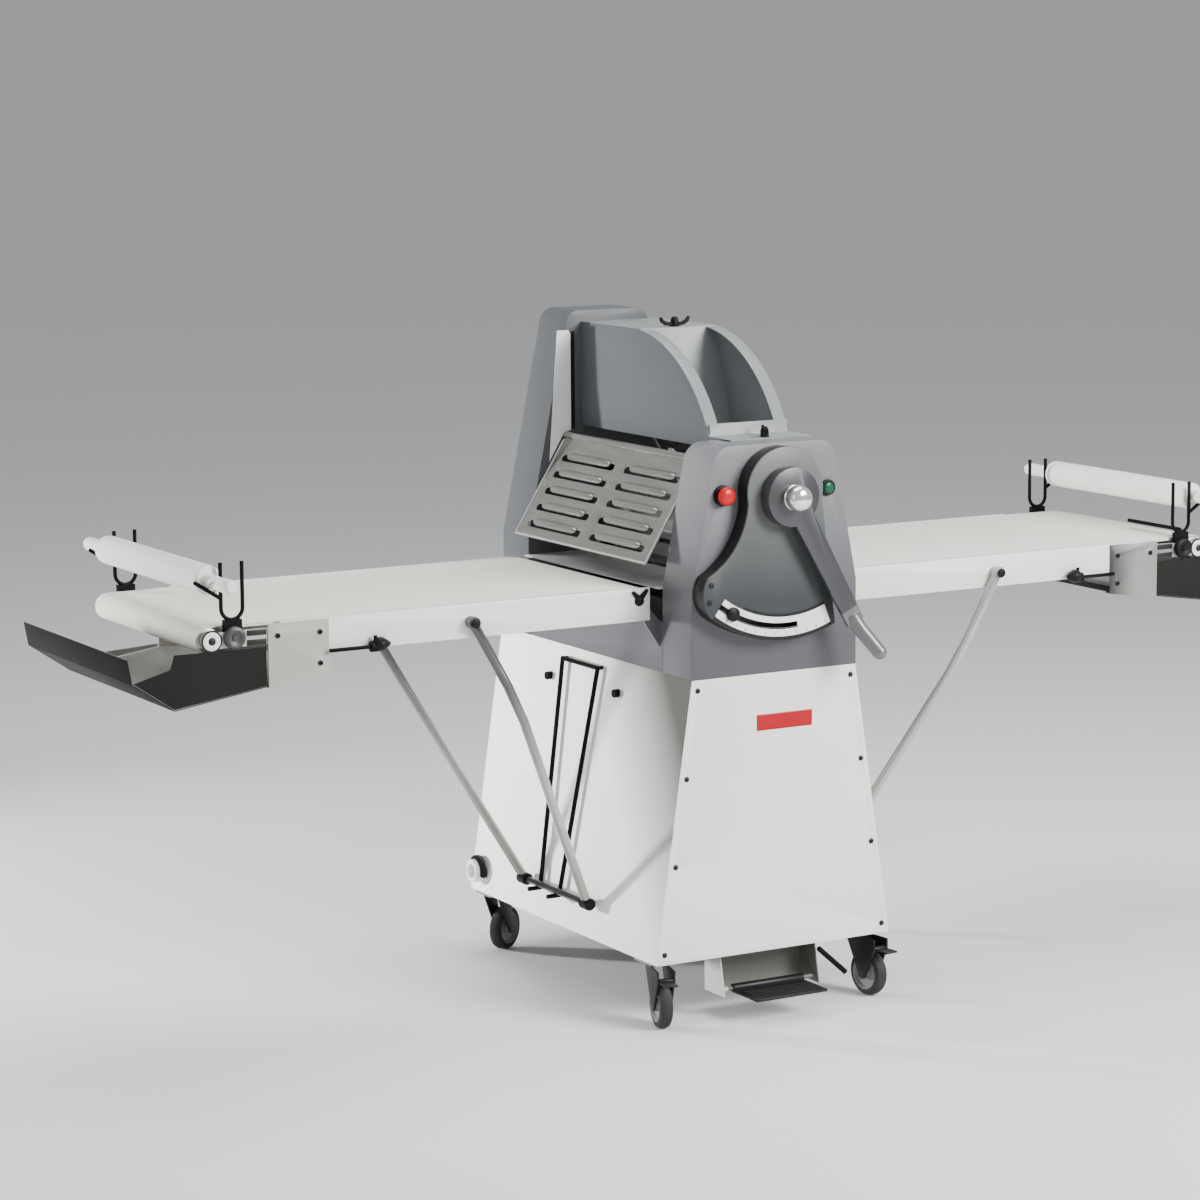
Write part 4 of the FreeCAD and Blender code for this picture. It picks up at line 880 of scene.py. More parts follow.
@dataclass
class Casters:
    """Four swivel casters with turned wheels."""

    bench: Bench
    reach_x: float = 0.255
    front_y: float = FRONT + 0.060
    back_y: float = BACK - 0.060
    trail: float = 0.032
    wheel_r: float = 0.050
    wheel_half: float = 0.014
    axle_r: float = 0.0061
    fork_edge: float = 0.0008
    brake_edge: float = 0.0012
    turns: tuple[tuple[str, float], ...] = (("fl", -105.0), ("fr", -84.0), ("bl", 30.0), ("br", 150.0))

    def build(self) -> None:
        """Build the wheels and dress the forks."""
        for name, turn in self.turns:
            self.wheel(name, math.radians(turn))
            self.bench.eased_node("caster_fork_" + name, self.fork_edge, BLACK_STEEL, "caster_black")
        for name in ("fl", "fr"):
            self.bench.eased_node("brake_lever_" + name, self.brake_edge, BLACK_STEEL, "caster_black")

    def wheel(self, name: str, turn: float) -> None:
        """Tyre with rounded shoulders on a dished hub.

        Args:
            name: Corner that the wheel stands at.
            turn: Direction that the caster trails in.
        """
        x = self.reach_x * (1 if name[1] == "r" else -1) + self.trail * math.cos(turn)
        y = (self.front_y if name[0] == "f" else self.back_y) + self.trail * math.sin(turn)
        axis = (-math.sin(turn), math.cos(turn), 0.0)
        r, axle, half = self.wheel_r, self.axle_r, self.wheel_half
        tyre = [(0.036, -half), (0.043, -half), (0.0475, -half * 0.8), (r, -half * 0.35)]
        hub = [(axle, -half), (0.012, -half), (0.014, -half * 0.55), (0.030, -half * 0.55),
               (0.0345, -half), (0.0359, -half)]
        body = "caster_wheel_" + name
        ring = self.bench.lathe("tyre_" + name, mirrored(tyre) + tyre[:1], (x, y, r), axis, 48)
        self.bench.hand_over(ring, body, TYRE, "wheel_rubber", body)
        dish = self.bench.lathe("wheel_hub_" + name, mirrored(hub) + hub[:1], (x, y, r), axis, 40)
        self.bench.hand_over(dish, body, WHEEL_HUB, "wheel_rubber")


@dataclass
class FootPedal:
    """Pedal with a ribbed mat and a stay, in its bracket under the cabinet."""

    bench: Bench
    bracket_edge: float = 0.0008
    pedal_edge: float = 0.0015
    half: float = 0.088
    front_y: float = FRONT - 0.070
    top_z: float = 0.058
    ribs: int = 5
    rib_start: float = 0.010
    rib_step: float = 0.013
    rib_inset: float = 0.008
    rib_w: float = 0.006
    rib_h: float = 0.002
    rib_sink: float = 0.0002
    rib_edge: float = 0.0009
    stay_top: Point = (0.119, FRONT + 0.014, 0.124)
    stay_foot: Point = (0.189, FRONT + 0.014, 0.062)
    stay_r: float = 0.006

    def build(self) -> None:
        """Dress the pedal and its bracket and add the mat and the stay."""
        bench = self.bench
        bench.eased_node("pedal_bracket", self.bracket_edge, PEDAL_SHADE_AND_LIGHT, "bracket_grey")
        bench.eased_node("pedal", self.pedal_edge, BLACK_STEEL, "knob_black")
        reach = self.half - self.rib_inset
        strips = []
        for i in range(self.ribs):
            y = self.front_y + self.rib_start + i * self.rib_step
            strips.append(bench.block("rib", (-reach, y, self.top_z - self.rib_sink),
                                      (reach, y + self.rib_w, self.top_z + self.rib_h), self.rib_edge))
        mat = bench.join("pedal_ribs", strips)
        bench.hand_over(mat, "pedal", PEDAL_RUBBER, "knob_black")
        stay = bench.rod("pedal_stay", self.stay_top, self.stay_foot, self.stay_r)
        bench.hand_over(stay, MACHINE, BLACK_WIRE, "wire_black")


@dataclass
class PowerInlet:
    """Round inlet low on the left panel, with a dark hood over its upper half."""

    bench: Bench
    place: Point = (-0.30968, BACK - 0.040, 0.190)
    r: float = 0.026
    hood_cut: Point = (0.0, 0.35, -1.0)

    def build(self) -> None:
        """Dress the socket and add its rim and hood."""
        bench, r = self.bench, self.r
        bench.dress_node("power_inlet", INLET_WHITE)
        rim = [(r - 0.006, 0.0002), (r - 0.003, 0.0016), (r - 0.0005, 0.0002), (r - 0.0005, -0.0005),
               (r - 0.006, -0.0005), (r - 0.006, 0.0002)]
        ring = bench.lathe("inlet_rim", rim, self.place, TO_LEFT, 40)
        bench.hand_over(ring, MACHINE, INLET_WHITE, "inlet_plastic")
        shell = [(r + 0.0003, -0.009), (r + 0.006, -0.010), (r + 0.009, -0.013), (r + 0.009, -0.022),
                 (r + 0.0003, -0.022), (r + 0.0003, -0.009)]
        hood = bench.lathe("inlet_hood", shell, self.place, TO_LEFT, 48)
        bench.cut(hood, self.place, self.hood_cut)
        bench.hand_over(hood, MACHINE, BLACK_KNOB, "knob_black")


@dataclass
class Head:
    """Bed and housings that hold the rolls."""

    bench: Bench
    plate_t: float = 0.0008
    plate_outline: Profile = ((0.150, 1.122), (0.112, 1.186), (0.094, 1.190), (0.094, 1.405),
                              (0.100, 1.413), (0.128, 1.413))
    seal_outline: Profile = ((0.0935, 1.192), (0.084, 1.192), (0.084, 1.410), (0.0935, 1.410))

    def build(self) -> None:
        """Dress the housings and what they hold."""
        self.end_plates()
        for node, edge, finish, slot, segments in (
                ("front_housing", 0.004, HEAD_PAINT_WITH_LIGHT, "head_grey", 3),
                ("rear_housing", 0.002, REAR_PAINT, "head_grey", 2),
                ("head_bed", 0.0008, HEAD_PAINT_WITH_LIGHT, "head_grey", 2),
                ("transfer_plates", 0.0006, PLATE_STEEL, "stainless", 2),
                ("lower_roll", 0.001, ROLL_METAL, "roll_metal", 2),
                ("upper_roll", 0.001, ROLL_METAL, "roll_metal", 2),
                ("roll_carrier", 0.001, STEEL, "stainless", 2)):
            self.bench.eased_node(node, edge, finish, slot, segments)
        for node, finish in (("roll_bearings", ALLOY), ("motor", MOTOR_PAINT), ("motor_pulley", ALLOY),
                             ("drive_belt", PEDAL_RUBBER)):
            self.bench.dress_node(node, finish)

    def end_plates(self) -> None:
        """White plates on the rear housing, outside the guards, with a dark seal along the bin."""
        for side in Side:
            for name, corners, finish, slot in (
                    ("_end_plate", self.plate_outline, END_WHITE, "cabinet_white"),
                    ("_end_seal", self.seal_outline, SCALE_BLACK, "knob_black")):
                outline = [(side.value * x, REAR_FACE, z) for x, z in corners]
                plate = self.bench.plate(side.word + name, outline, (0.0, -self.plate_t, 0.0))
                self.bench.hand_over(plate, MACHINE, finish, slot)


@dataclass
class Dial:
    """Bell-shaped dial with its scale, gap lever, stop knob and buttons."""

    bench: Bench
    slot_r: float = 0.271
    slot_half: float = 0.0053
    slot_from: float = -36.0
    slot_to: float = 6.0
    box_edge: float = 0.0016
    lever_edge: float = 0.002
    bezel_edge: float = 0.0012
    slot_edge_w: float = 0.0025
    slot_edge_t: float = 0.0011
    band_inner: float = 0.253
    band_outer: float = 0.294
    band_from: float = -36.0
    band_to: float = 22.0
    band_t: float = 0.0008
    lift: float = 0.0001
    seam: float = 0.0002
    line_w: float = 0.006
    line_from: float = -24.0
    foot_w: float = 0.0078
    tick_from: float = -30.0
    tick_step: float = 5.0
    tick_count: int = 11
    tick_half: float = 0.0006
    tick_radii: Pair = (0.284, 0.292)
    tick_rise: float = 0.0005
    tick_edge: float = 0.0002
    screw_places: Profile = ((-0.181, 0.940), (-0.185, 0.904))
    knob_angle: float = -29.0
    knob_lift: float = 0.0013
    cap_lift: float = 0.032
    button_x: float = 0.129
    button_z: float = 1.119
    stop_reach: float = 0.0285
    start_reach: float = 0.011

    def point(self, radius: float, degrees: float, y: float) -> Vector:
        """Point on the dial, at an angle to the right of straight down."""
        angle = math.radians(degrees)
        return Vector((radius * math.sin(angle), y, HUB_Z - radius * math.cos(angle)))

    def build(self) -> None:
        """Build the scale, knob and buttons, and dress the lever."""
        self.bench.eased_node("dial_box", self.box_edge, DIAL_PAINT_WITH_LIGHT, "head_grey")
        self.bench.eased_node("gap_lever", self.lever_edge, LEVER_METAL_WITH_HIGHLIGHT, "alloy")
        self.scale()
        self.ticks()
        self.screws()
        self.knob()
        self.cap()
        self.buttons()

    def arc_band(self, name: str, radii: Sequence[float], low: float, high: float) -> Piece:
        """Flat ring sector on the dial face, spun from a line of points.

        Args:
            name: Name of the piece.
            radii: Radii of the points of the line.
            low: Angle where it starts.
            high: Angle where it ends.

        Returns:
            The new object.
        """
        band = self.bench.draw(name, [self.point(r, low, DIAL_FACE - self.lift) for r in radii])
        bpy.ops.mesh.spin(steps=int(abs(high - low)), angle=math.radians(high - low),
                          center=(0.0, 0.0, HUB_Z), axis=TO_BACK)
        self.bench.close(MERGE_GAP)
        return band

    def lay(self, band: Piece, thick: float, finish: Finish, slot: str) -> None:
        """Give a flat band its thickness towards the front and hand it over.

        Args:
            band: The flat object.
            thick: Thickness in metres.
            finish: Its finish.
            slot: Material slot of the record.
        """
        self.bench.edit_all(band)
        bpy.ops.mesh.extrude_region_move(TRANSFORM_OT_translate={"value": (0.0, -thick, 0.0)})
        self.bench.close()
        self.bench.smooth(band)
        self.bench.hand_over(band, MACHINE, finish, slot)

    def scale(self) -> None:
        """Pale band round the slot, with dark lines along its two edges and under the slot.

        The line along its outer edge is painted shade at the dial's lower rim.
        """
        inner, outer = self.slot_r - self.slot_half, self.slot_r + self.slot_half
        radii = (self.band_inner, inner, outer, self.band_outer)
        band = self.arc_band("dial_scale", radii, self.band_from, self.band_to)

        def in_slot(centre: Vector, normal: Vector) -> bool:
            """Whether a face lies over the slot."""
            across = math.hypot(centre.x, centre.z - HUB_Z)
            angle = math.degrees(math.atan2(centre.x, HUB_Z - centre.z))
            return inner < across < outer and self.slot_from < angle < self.slot_to

        self.bench.edit_faces(band, in_slot)
        bpy.ops.mesh.delete(type="FACE")
        bpy.ops.object.mode_set(mode="OBJECT")
        self.lay(band, self.band_t, SCALE_WHITE, "inlet_plastic")
        top = (self.band_inner - self.line_w, self.band_inner - self.seam)
        # The dark line along the band's outer edge is painted shade at the dial's lower rim.
        foot = (self.band_outer + self.seam, self.band_outer + self.foot_w)
        under = (outer + self.seam, outer + self.slot_edge_w)
        for name, radii, low, high, thick in (
                ("dial_scale_line", top, self.line_from, self.band_to, self.band_t),
                ("dial_foot_line", foot, self.band_from, self.band_to, self.band_t),
                ("dial_slot_edge", under, self.slot_from, self.slot_to, self.slot_edge_t)):
            self.lay(self.arc_band(name, radii, low, high), thick, SCALE_BLACK, "knob_black")

    def ticks(self) -> None:
        """Short dark marks along the outer half of the scale."""
        face_y = DIAL_FACE - self.band_t
        inner, outer = self.tick_radii
        pattern = self.bench.block("tick_pattern", (-self.tick_half, face_y - self.tick_rise, -outer),
                                   (self.tick_half, face_y, -inner), self.tick_edge)
        hub = Matrix.Translation((0.0, 0.0, HUB_Z))
        angles = [self.tick_from + self.tick_step * i for i in range(self.tick_count)]
        moves = [hub @ Matrix.Rotation(math.radians(-angle), 4, "Y") for angle in angles]
        ticks = self.bench.repeat("dial_ticks", pattern, moves)
        self.bench.hand_over(ticks, MACHINE, SCALE_BLACK, "knob_black")

    def screws(self) -> None:
        """Two small dark screws at the dial's left foot."""
        profile = mm((0, 1.8), (2.2, 1.8), (2.2, 2.8), (4.5, 2.5), (6, 1), (6, -0.2), (0, -0.2))
        heads = [self.bench.lathe("dial_screw", profile, (x, DIAL_FACE, z), TO_FRONT, 20)
                 for x, z in self.screw_places]
        screws = self.bench.join("dial_screw_heads", heads)
        self.bench.hand_over(screws, MACHINE, BLACK_STEEL, "screw_black")

    def knob(self) -> None:
        """Ribbed stop knob in the dial's slot."""
        place = self.point(self.slot_r, self.knob_angle, DIAL_FACE - self.knob_lift)
        profile = mm((0, 10), (6, 10), (9.5, 8.5), (12.5, 8), (14.8, 6.5), (14.8, 0.5), (12, 0), (5, 0),
                     (5, -10), (0, -10))
        knob = self.bench.lathe("stop_knob_turned", profile, tuple(place), TO_FRONT)
        self.bench.hand_over(knob, "stop_knob", BLACK_KNOB, "knob_black", "stop_knob")

    def cap(self) -> None:
        """Bright turned cap on the lever's hub."""
        profile = mm((0, 40), (10, 39.5), (19, 37), (24.5, 32), (26.5, 25), (27, 12), (25.5, 10), (25.5, 7),
                     (27, 5), (27, 0), (0, 0))
        place = (0.0, DIAL_FACE - self.cap_lift, HUB_Z)
        cap = self.bench.lathe("lever_cap_turned", profile, place, TO_FRONT, 48)
        self.bench.hand_over(cap, "gap_lever", CAP_METAL, "bright_metal", "lever_cap")

    def buttons(self) -> None:
        """Mushroom stop button, domed start button and their collars."""
        bench = self.bench
        stop = mm((0, 0), (9, -0.6), (15, -2.5), (18.8, -6), (20, -10), (19.5, -14), (9, -14), (9, -40),
                  (0, -40))
        place = (-self.button_x, FRONT - self.stop_reach, self.button_z)
        mushroom = bench.lathe("estop_mushroom", stop, place, TO_FRONT, 40)
        bench.hand_over(mushroom, "estop_button", RED_BUTTON, "red_plastic", "estop_button")
        start = mm((0, 0), (6, -0.3), (10, -1.2), (12, -3), (12, -23), (0, -23))
        place = (self.button_x, FRONT - self.start_reach, self.button_z)
        button = bench.lathe("start_button_turned", start, place, TO_FRONT, 36)
        bench.hand_over(button, "start_button", GREEN_BUTTON, "green_plastic", "start_button")
        bench.eased_node("button_bezels", self.bezel_edge, BLACK_KNOB, "knob_black")


@dataclass
class FlourBin:
    """Quarter-round bin above the rolls, with its wing screws."""

    bench: Bench
    shell_edge: float = 0.0012
    middle_x: float = 0.033
    top_z: float = 1.431
    lip_z: float = 1.223
    back_screw_y: float = 0.1037
    front_screw_y: float = HOUSING_BACK - 0.025
    front_turn: float = 64.0
    wing_half: float = 0.0035
    wing_edge: float = 0.0018

    def build(self) -> None:
        """Dress the bin inside and out and build the wing screws."""
        bench = self.bench
        shell = bench.eased_node("flour_bin", self.shell_edge, BIN_PAINT, "head_grey")
        bench.dress_faces(shell, BIN_INSIDE, self.is_inside)
        # The rim, back wall and eased edges get the painted light tone.
        bench.dress_faces(shell, BIN_PAINTED_LIGHT, self.is_rim)
        screws = [self.wing_screw(self.back_screw_y, self.top_z, 0.0),
                  self.wing_screw(self.front_screw_y, self.lip_z, self.front_turn)]
        pair = bench.join("wing_screw_pair", screws)
        bench.smooth(pair, ROUND_ANGLE)
        bench.hand_over(pair, MACHINE, BLACK_KNOB, "knob_black", "wing_screws")

    @staticmethod
    def is_rim(centre: Vector, normal: Vector) -> bool:
        """Whether a face lies outside the bin's flat ends."""
        return abs(normal.x) < FACING

    def is_inside(self, centre: Vector, normal: Vector) -> bool:
        """Whether a face of the bin's ends looks inward."""
        return not self.is_rim(centre, normal) and normal.x * (centre.x - self.middle_x) < 0

    def wing_screw(self, y: float, z: float, turn: float) -> Piece:
        """Wing screw: a turned stud with two raised, rounded wings.

        Args:
            y: Place along the machine's depth.
            z: Height of its seat.
            turn: Angle of the wings from the X axis, in degrees.

        Returns:
            The new object.
        """
        bench = self.bench
        profile = mm((0, 22), (4, 21.5), (7, 19), (9, 13), (9, 2), (11, 1), (11, 0), (0, 0))
        wing = mm((10, 1.5), (24, 3), (35, 10), (39, 20), (33, 22), (27, 14), (16, 10), (10, 10))
        both = wing + [(-reach, rise) for reach, rise in reversed(wing)]
        seat = Vector((self.middle_x, y, z))
        along = Matrix.Rotation(math.radians(turn), 3, "Z") @ Vector((1.0, 0.0, 0.0))
        across = Vector((-along.y, along.x, 0.0)) * self.wing_half
        stud = bench.lathe("stud", profile, tuple(seat), UP)
        outline = [tuple(seat + along * reach - across + Vector((0.0, 0.0, rise))) for reach, rise in both]
        wings = bench.plate("wings", outline, tuple(2 * across), self.wing_edge)
        return bench.join("wing_screw", [stud, wings])


@dataclass
class RollGuard:
    """Slotted guard over the rolls on one side, with pressed lips over its slots."""

    bench: Bench
    side: Side
    top: Point = (0.109, 0.0, 1.180)
    low: Point = (0.240, 0.0, 0.970)
    near: float = HOUSING_BACK + 0.005
    far: float = REAR_FACE - 0.005
    margin: float = 0.034
    bridge: float = 0.044
    row_start: float = 0.054
    row_step: float = 0.041
    rows: int = 5
    columns: int = 2
    sheet: float = 0.0025
    sheet_edge: float = 0.0006
    lip_r: float = 0.0085
    lip_rise: float = 0.0055
    lip_open: float = 0.021
    lip_sink: float = 0.0009
    hem_r: float = 0.0026
    hem_top: float = 0.012
    hem_foot: float = 0.001

    def build(self) -> None:
        """Dress the guard, press the lips and add the hems."""
        bench, body, sign = self.bench, self.side.word + "_guard", self.side.value
        bench.eased_node(body, self.sheet_edge, GUARD_STEEL, "stainless")
        column = (self.far - self.near - 2 * self.margin - self.bridge) / self.columns
        slope = Vector(self.low) - Vector(self.top)
        turn = Matrix.Rotation(-sign * math.atan2(slope.x, -slope.z), 4, "Y")
        if self.side is Side.LEFT:
            turn = turn @ Matrix.Rotation(math.pi, 4, "Z")
        moves = []
        for i in range(self.columns):
            middle = self.near + self.margin + i * (column + self.bridge) + column / 2
            for j in range(self.rows):
                down = self.row_start + j * self.row_step - self.lip_rise
                place = Vector(self.top) + slope.normalized() * down
                moves.append(Matrix.Translation((sign * place.x, middle, place.z)) @ turn)
        lips = bench.repeat(body + "_lips", self.lip(column - 2 * self.lip_open), moves)
        bench.smooth(lips, ROUND_ANGLE)
        bench.hand_over(lips, body, GUARD_STEEL, "stainless")
        self.hems(slope.normalized())

    def hems(self, down: Vector) -> None:
        """Bright turned hems along the guard's two ends and its lower edge.

        Args:
            down: Direction down the guard on the right side.
        """
        sign, r = self.side.value, self.hem_r
        out = Vector((-down.z, 0.0, down.x)) * (self.sheet / 2)
        corners = (Vector(self.top) + down * self.hem_top, Vector(self.low) - down * self.hem_foot)
        top, low = (Vector((sign * (c + out).x, 0.0, (c + out).z)) for c in corners)
        near, far = self.near + r, self.far - r
        rods = []
        for y in (near, far):
            shift = Vector((0.0, y, 0.0))
            rods.append(self.bench.rod("hem", tuple(top + shift), tuple(low + shift), r, 12))
        rods.append(self.bench.rod("hem", (low.x, near, low.z), (low.x, far, low.z), r, 12))
        hem = self.bench.join(self.side.word + "_guard_hem", rods)
        self.bench.hand_over(hem, self.side.word + "_guard", HEM_STEEL, "stainless")

    def lip(self, length: float) -> Piece:
        """One pressed lip: a flattened half-round bead with tapered ends, along Y.

        Args:
            length: Length of the slot under it.

        Returns:
            The new object.
        """
        r, half = self.lip_r, length / 2
        end = [(0.0, -half), (0.4 * r, 0.001 - half), (0.78 * r, 0.006 - half), (r, 0.016 - half)]
        bead = self.bench.lathe("lip_pattern", mirrored(end), ORIGIN, TO_BACK, 20)
        self.bench.cut(bead, (self.lip_sink, 0.0, 0.0), TO_LEFT)
        return bead


@dataclass
class BeltTable:
    """Folding belt table on one side, with its brackets, forks, tray, pin and strut."""

    bench: Bench
    side: Side
    end_x: float = 1.223
    roller_z: float = 0.8927
    bracket_inner: float = 0.971
    bracket_outer: float = 1.103
    bracket_face: float = TABLE_FRONT - 0.003
    bolt_inset: float = 0.020
    skirt_bottom: float = 0.850
    strut_top: Pair = (0.653, 0.883)
    strut_feet: Pair = (-0.085, 0.195)
    foot_x: float = 0.3035
    foot_z: float = 0.222
    sleeve_half: float = 0.017
    slot_inner: float = 1.106
    slot_outer: float = 1.148
    slot_rise: float = 0.0012
    slot_sink: float = 0.0002
    slot_edge: float = 0.0010
    tension_slots: Profile = ((0.8772, 0.8892), (0.8968, 0.9083))
    pivot_x: float = 0.255
    catch_t: float = 0.004
    catch_edge: float = 0.001
    fork_x: float = 1.176
    fork_y: float = -0.225
    clamp_z: float = 0.897
    bar_z: float = 0.938
    bar_length: float = 0.190
    bar_r: float = 0.0045
    tray_wall: Profile = ((1.106, 0.794), (1.304, 0.765), (1.389, 0.823), (1.311, 0.844), (1.302, 0.872),
                          (1.106, 0.872))
    far_wall: Profile = ((1.106, 0.794), (1.304, 0.765), (1.336, 0.787), (1.106, 0.800))
    wall_inset: float = 0.0012
    wall_t: float = 0.0014
    latch_place: Point = (0.862, TABLE_FRONT - 0.015, 0.858)
    handle: float = 0.108

    def node(self, piece: str) -> str:
        """Name of this side's node or body."""
        return self.side.word + "_" + piece

    def carry(self, piece: Piece, finish: Finish, slot: str) -> None:
        """Let a piece ride on this side's table."""
        self.bench.hand_over(piece, self.node("table"), finish, slot)

    def turned(self, name: str, profile: Profile, x: float, z: float, steps: int = 36) -> Piece:
        """Piece turned on the table's front, at a distance from the machine's middle."""
        return self.bench.lathe(name, profile, (self.side.value * x, TABLE_FRONT, z), TO_FRONT, steps)

    @staticmethod
    def looks_up(centre: Vector, normal: Vector) -> bool:
        """Whether a face looks up more than sideways."""
        return normal.z > 0.5

    def build(self) -> None:
        """Dress this side's nodes and add its small pieces."""
        bracket = BRACKET_GREY if self.side is Side.LEFT else BRACKET_STEEL_WITH_SHADE
        made = {}
        for piece, edge, finish, slot in (
                ("table_frame", 0.0006, SKIRT_PAINT, "cabinet_white"),
                ("belt", 0.0006, BELT_CANVAS, "belt_cream"),
                ("end_brackets", 0.0006, bracket, "bracket_grey"),
                ("pin_forks", 0.0, BLACK_WIRE, "wire_black"),
                ("tray", 0.0005, TRAY_PAINTED_SHADE, "tray_grey"),
                ("strut_frame", 0.0, STRUT_GREY_WITH_SHADE, "strut_grey"),
                ("end_roller", 0.0006, ALLOY, "alloy")):
            made[piece] = self.bench.eased_node(self.node(piece), edge, finish, slot)
        # Faces that look up keep the tray's bare steel; the rest keeps the painted shade.
        self.bench.dress_faces(made["tray"], TRAY_INSIDE, self.looks_up)
        self.bench.dress_node(self.node("inner_roller"), ALLOY)
        self.bolts()
        self.bearing_eye()
        self.fork_clamp()
        self.strut_clamps()
        self.tray_walls()
        self.pivot_catch()
        self.latch_knob()
        self.pin()

    def bolts(self) -> None:
        """Dark bolt heads on the end brackets."""
        head = mm((0, 2), (2.5, 2), (2.5, 3.4), (4.5, 3.2), (5.5, 2.2), (5.5, -0.2), (0, -0.2))
        inner, outer = self.bracket_inner + self.bolt_inset, self.bracket_outer - self.bolt_inset
        far = 2 * TABLE_MIDDLE - self.bracket_face
        heads = []
        for x, z in ((inner, self.roller_z), (outer, self.roller_z),
                     (inner, self.skirt_bottom - self.bolt_inset)):
            for y, way in ((self.bracket_face, TO_FRONT), (far, TO_BACK)):
                heads.append(self.bench.lathe("bolt", head, (self.side.value * x, y, z), way, 20))
        self.carry(self.bench.join(self.node("bracket_bolts"), heads), BLACK_STEEL, "screw_black")

    def bearing_eye(self) -> None:
        """White eye round the end roller's axle, a dark gap round it and the slots of the belt's tension."""
        ring = mm((8, 0), (8, 2.2), (10, 3), (16.5, 3), (18.5, 1.8), (18.5, 0), (8, 0))
        eye = self.turned(self.node("bearing_eye"), ring, self.end_x, self.roller_z)
        self.carry(eye, EYE_WHITE, "bracket_grey")
        gap = mm((18.6, 0), (18.6, 1.2), (22.2, 1.2), (22.2, 0), (18.6, 0))
        stub = mm((0, 4.2), (5, 4.2), (7, 3), (7.8, 1.5), (7.8, 0), (0, 0))
        dark = [self.turned("axle_end", stub, self.end_x, self.roller_z, 28),
                self.turned("eye_gap", gap, self.end_x, self.roller_z)]
        left, right = sorted((self.side.value * self.slot_inner, self.side.value * self.slot_outer))
        for low, high in self.tension_slots:
            dark.append(self.bench.block("slot", (left, TABLE_FRONT - self.slot_rise, low),
                                         (right, TABLE_FRONT + self.slot_sink, high), self.slot_edge))
        self.carry(self.bench.join(self.node("tension_trim"), dark), BLACK_STEEL, "screw_black")

    def fork_clamp(self) -> None:
        """Turned clamp knob that holds the near pin fork to the arm, and the stop bar at its side."""
        knob = mm((0, 12), (6, 12), (7, 10), (16, 12.5), (21, 11), (22.8, 8), (22.8, 1.5), (21, 0), (0, 0))
        clamp = self.turned(self.node("fork_clamp"), knob, self.fork_x, self.clamp_z)
        self.carry(clamp, CLAMP_GREY if self.side is Side.LEFT else BLACK_KNOB, "knob_black")
        if self.side is Side.RIGHT:
            start = (self.fork_x, self.fork_y, self.bar_z)
            end = (self.fork_x, self.fork_y + self.bar_length, self.bar_z)
            self.carry(self.bench.rod("right_stop_bar", start, end, self.bar_r), BLACK_WIRE, "wire_black")

    def strut_clamps(self) -> None:
        """Black clamps at the ends of the strut's crossbar, and black caps on the pins at its top."""
        bench, sign = self.bench, self.side.value
        sleeve = mm((0, 0), (10.5, 0), (13.5, 3), (13.5, 31), (10.5, 34), (0, 34))
        feet = [(sign * self.foot_x, y - self.sleeve_half, self.foot_z) for y in self.strut_feet]
        sleeves = [bench.lathe("sleeve", sleeve, foot, TO_BACK) for foot in feet]
        clamps = bench.join(self.node("strut_clamps"), sleeves)
        bench.hand_over(clamps, self.node("strut_frame"), BLACK_KNOB, "knob_black")
        low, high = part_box(self.node("table_frame"))
        cap = mm((0, 2.2), (5, 2), (8.5, 1), (9.8, -0.6), (9.8, -2.8), (0, -2.8))
        x, z = self.strut_top
        caps = [bench.lathe("cap", cap, (sign * x, y, z), way)
                for y, way in ((low.y, TO_FRONT), (high.y, TO_BACK))]
        self.carry(bench.join(self.node("strut_pin_caps"), caps), BLACK_KNOB, "knob_black")

    def tray_walls(self) -> None:
        """Low walls that close the tray's two ends, with painted shade on their outsides."""
        near = TABLE_FRONT + self.wall_inset
        walls = []
        for y, thick, corners in ((near, self.wall_t, self.tray_wall),
                                  (2 * TABLE_MIDDLE - near, -self.wall_t, self.far_wall)):
            outline = [(self.side.value * x, y, z) for x, z in corners]
            walls.append(self.bench.plate("wall", outline, (0.0, thick, 0.0)))
        pair = self.bench.join(self.node("tray_walls"), walls)
        self.bench.hand_over(pair, self.node("tray"), TRAY_PAINTED_SHADE, "tray_grey")

        def is_inside(centre: Vector, normal: Vector) -> bool:
            """Whether a face looks into the tray."""
            return normal.y * (centre.y - TABLE_MIDDLE) < 0.0

        self.bench.dress_faces(pair, TRAY_INSIDE, is_inside)

    def pivot_catch(self) -> None:
        """Black catch over the table's pivot, at its inner end."""
        boss = mm((0, 7.5), (6, 7), (9.5, 4.5), (11, 1), (11, 0), (0, 0))
        arm = mm((4, -6), (10, 4), (22, 21), (16, 25), (0, 12), (-14, 23), (-20, 19), (-9, 4), (-4, -6))
        x, z = self.side.value * self.pivot_x, self.roller_z
        outline = [(x + dx, TABLE_FRONT, z + dz) for dx, dz in arm]
        parts = [self.turned("boss", boss, self.pivot_x, z, 28),
                 self.bench.plate("arms", outline, (0.0, -self.catch_t, 0.0), self.catch_edge)]
        self.carry(self.bench.join(self.node("pivot_catch"), parts), BLACK_KNOB, "knob_black")

    def latch_knob(self) -> None:
        """Pear-shaped black knob on the end of the tray latch's rod."""
        x, y, z = self.latch_place
        sign = self.side.value
        pear = mm((0, 22), (4, 20), (10, 11), (14.5, 2), (14.5, -6), (11, -12), (6, -15), (0, -15))
        knob = self.bench.lathe(self.node("latch_knob"), pear, (sign * x, y, z), (-sign, 0.0, 0.0))
        self.carry(knob, BLACK_KNOB, "knob_black")

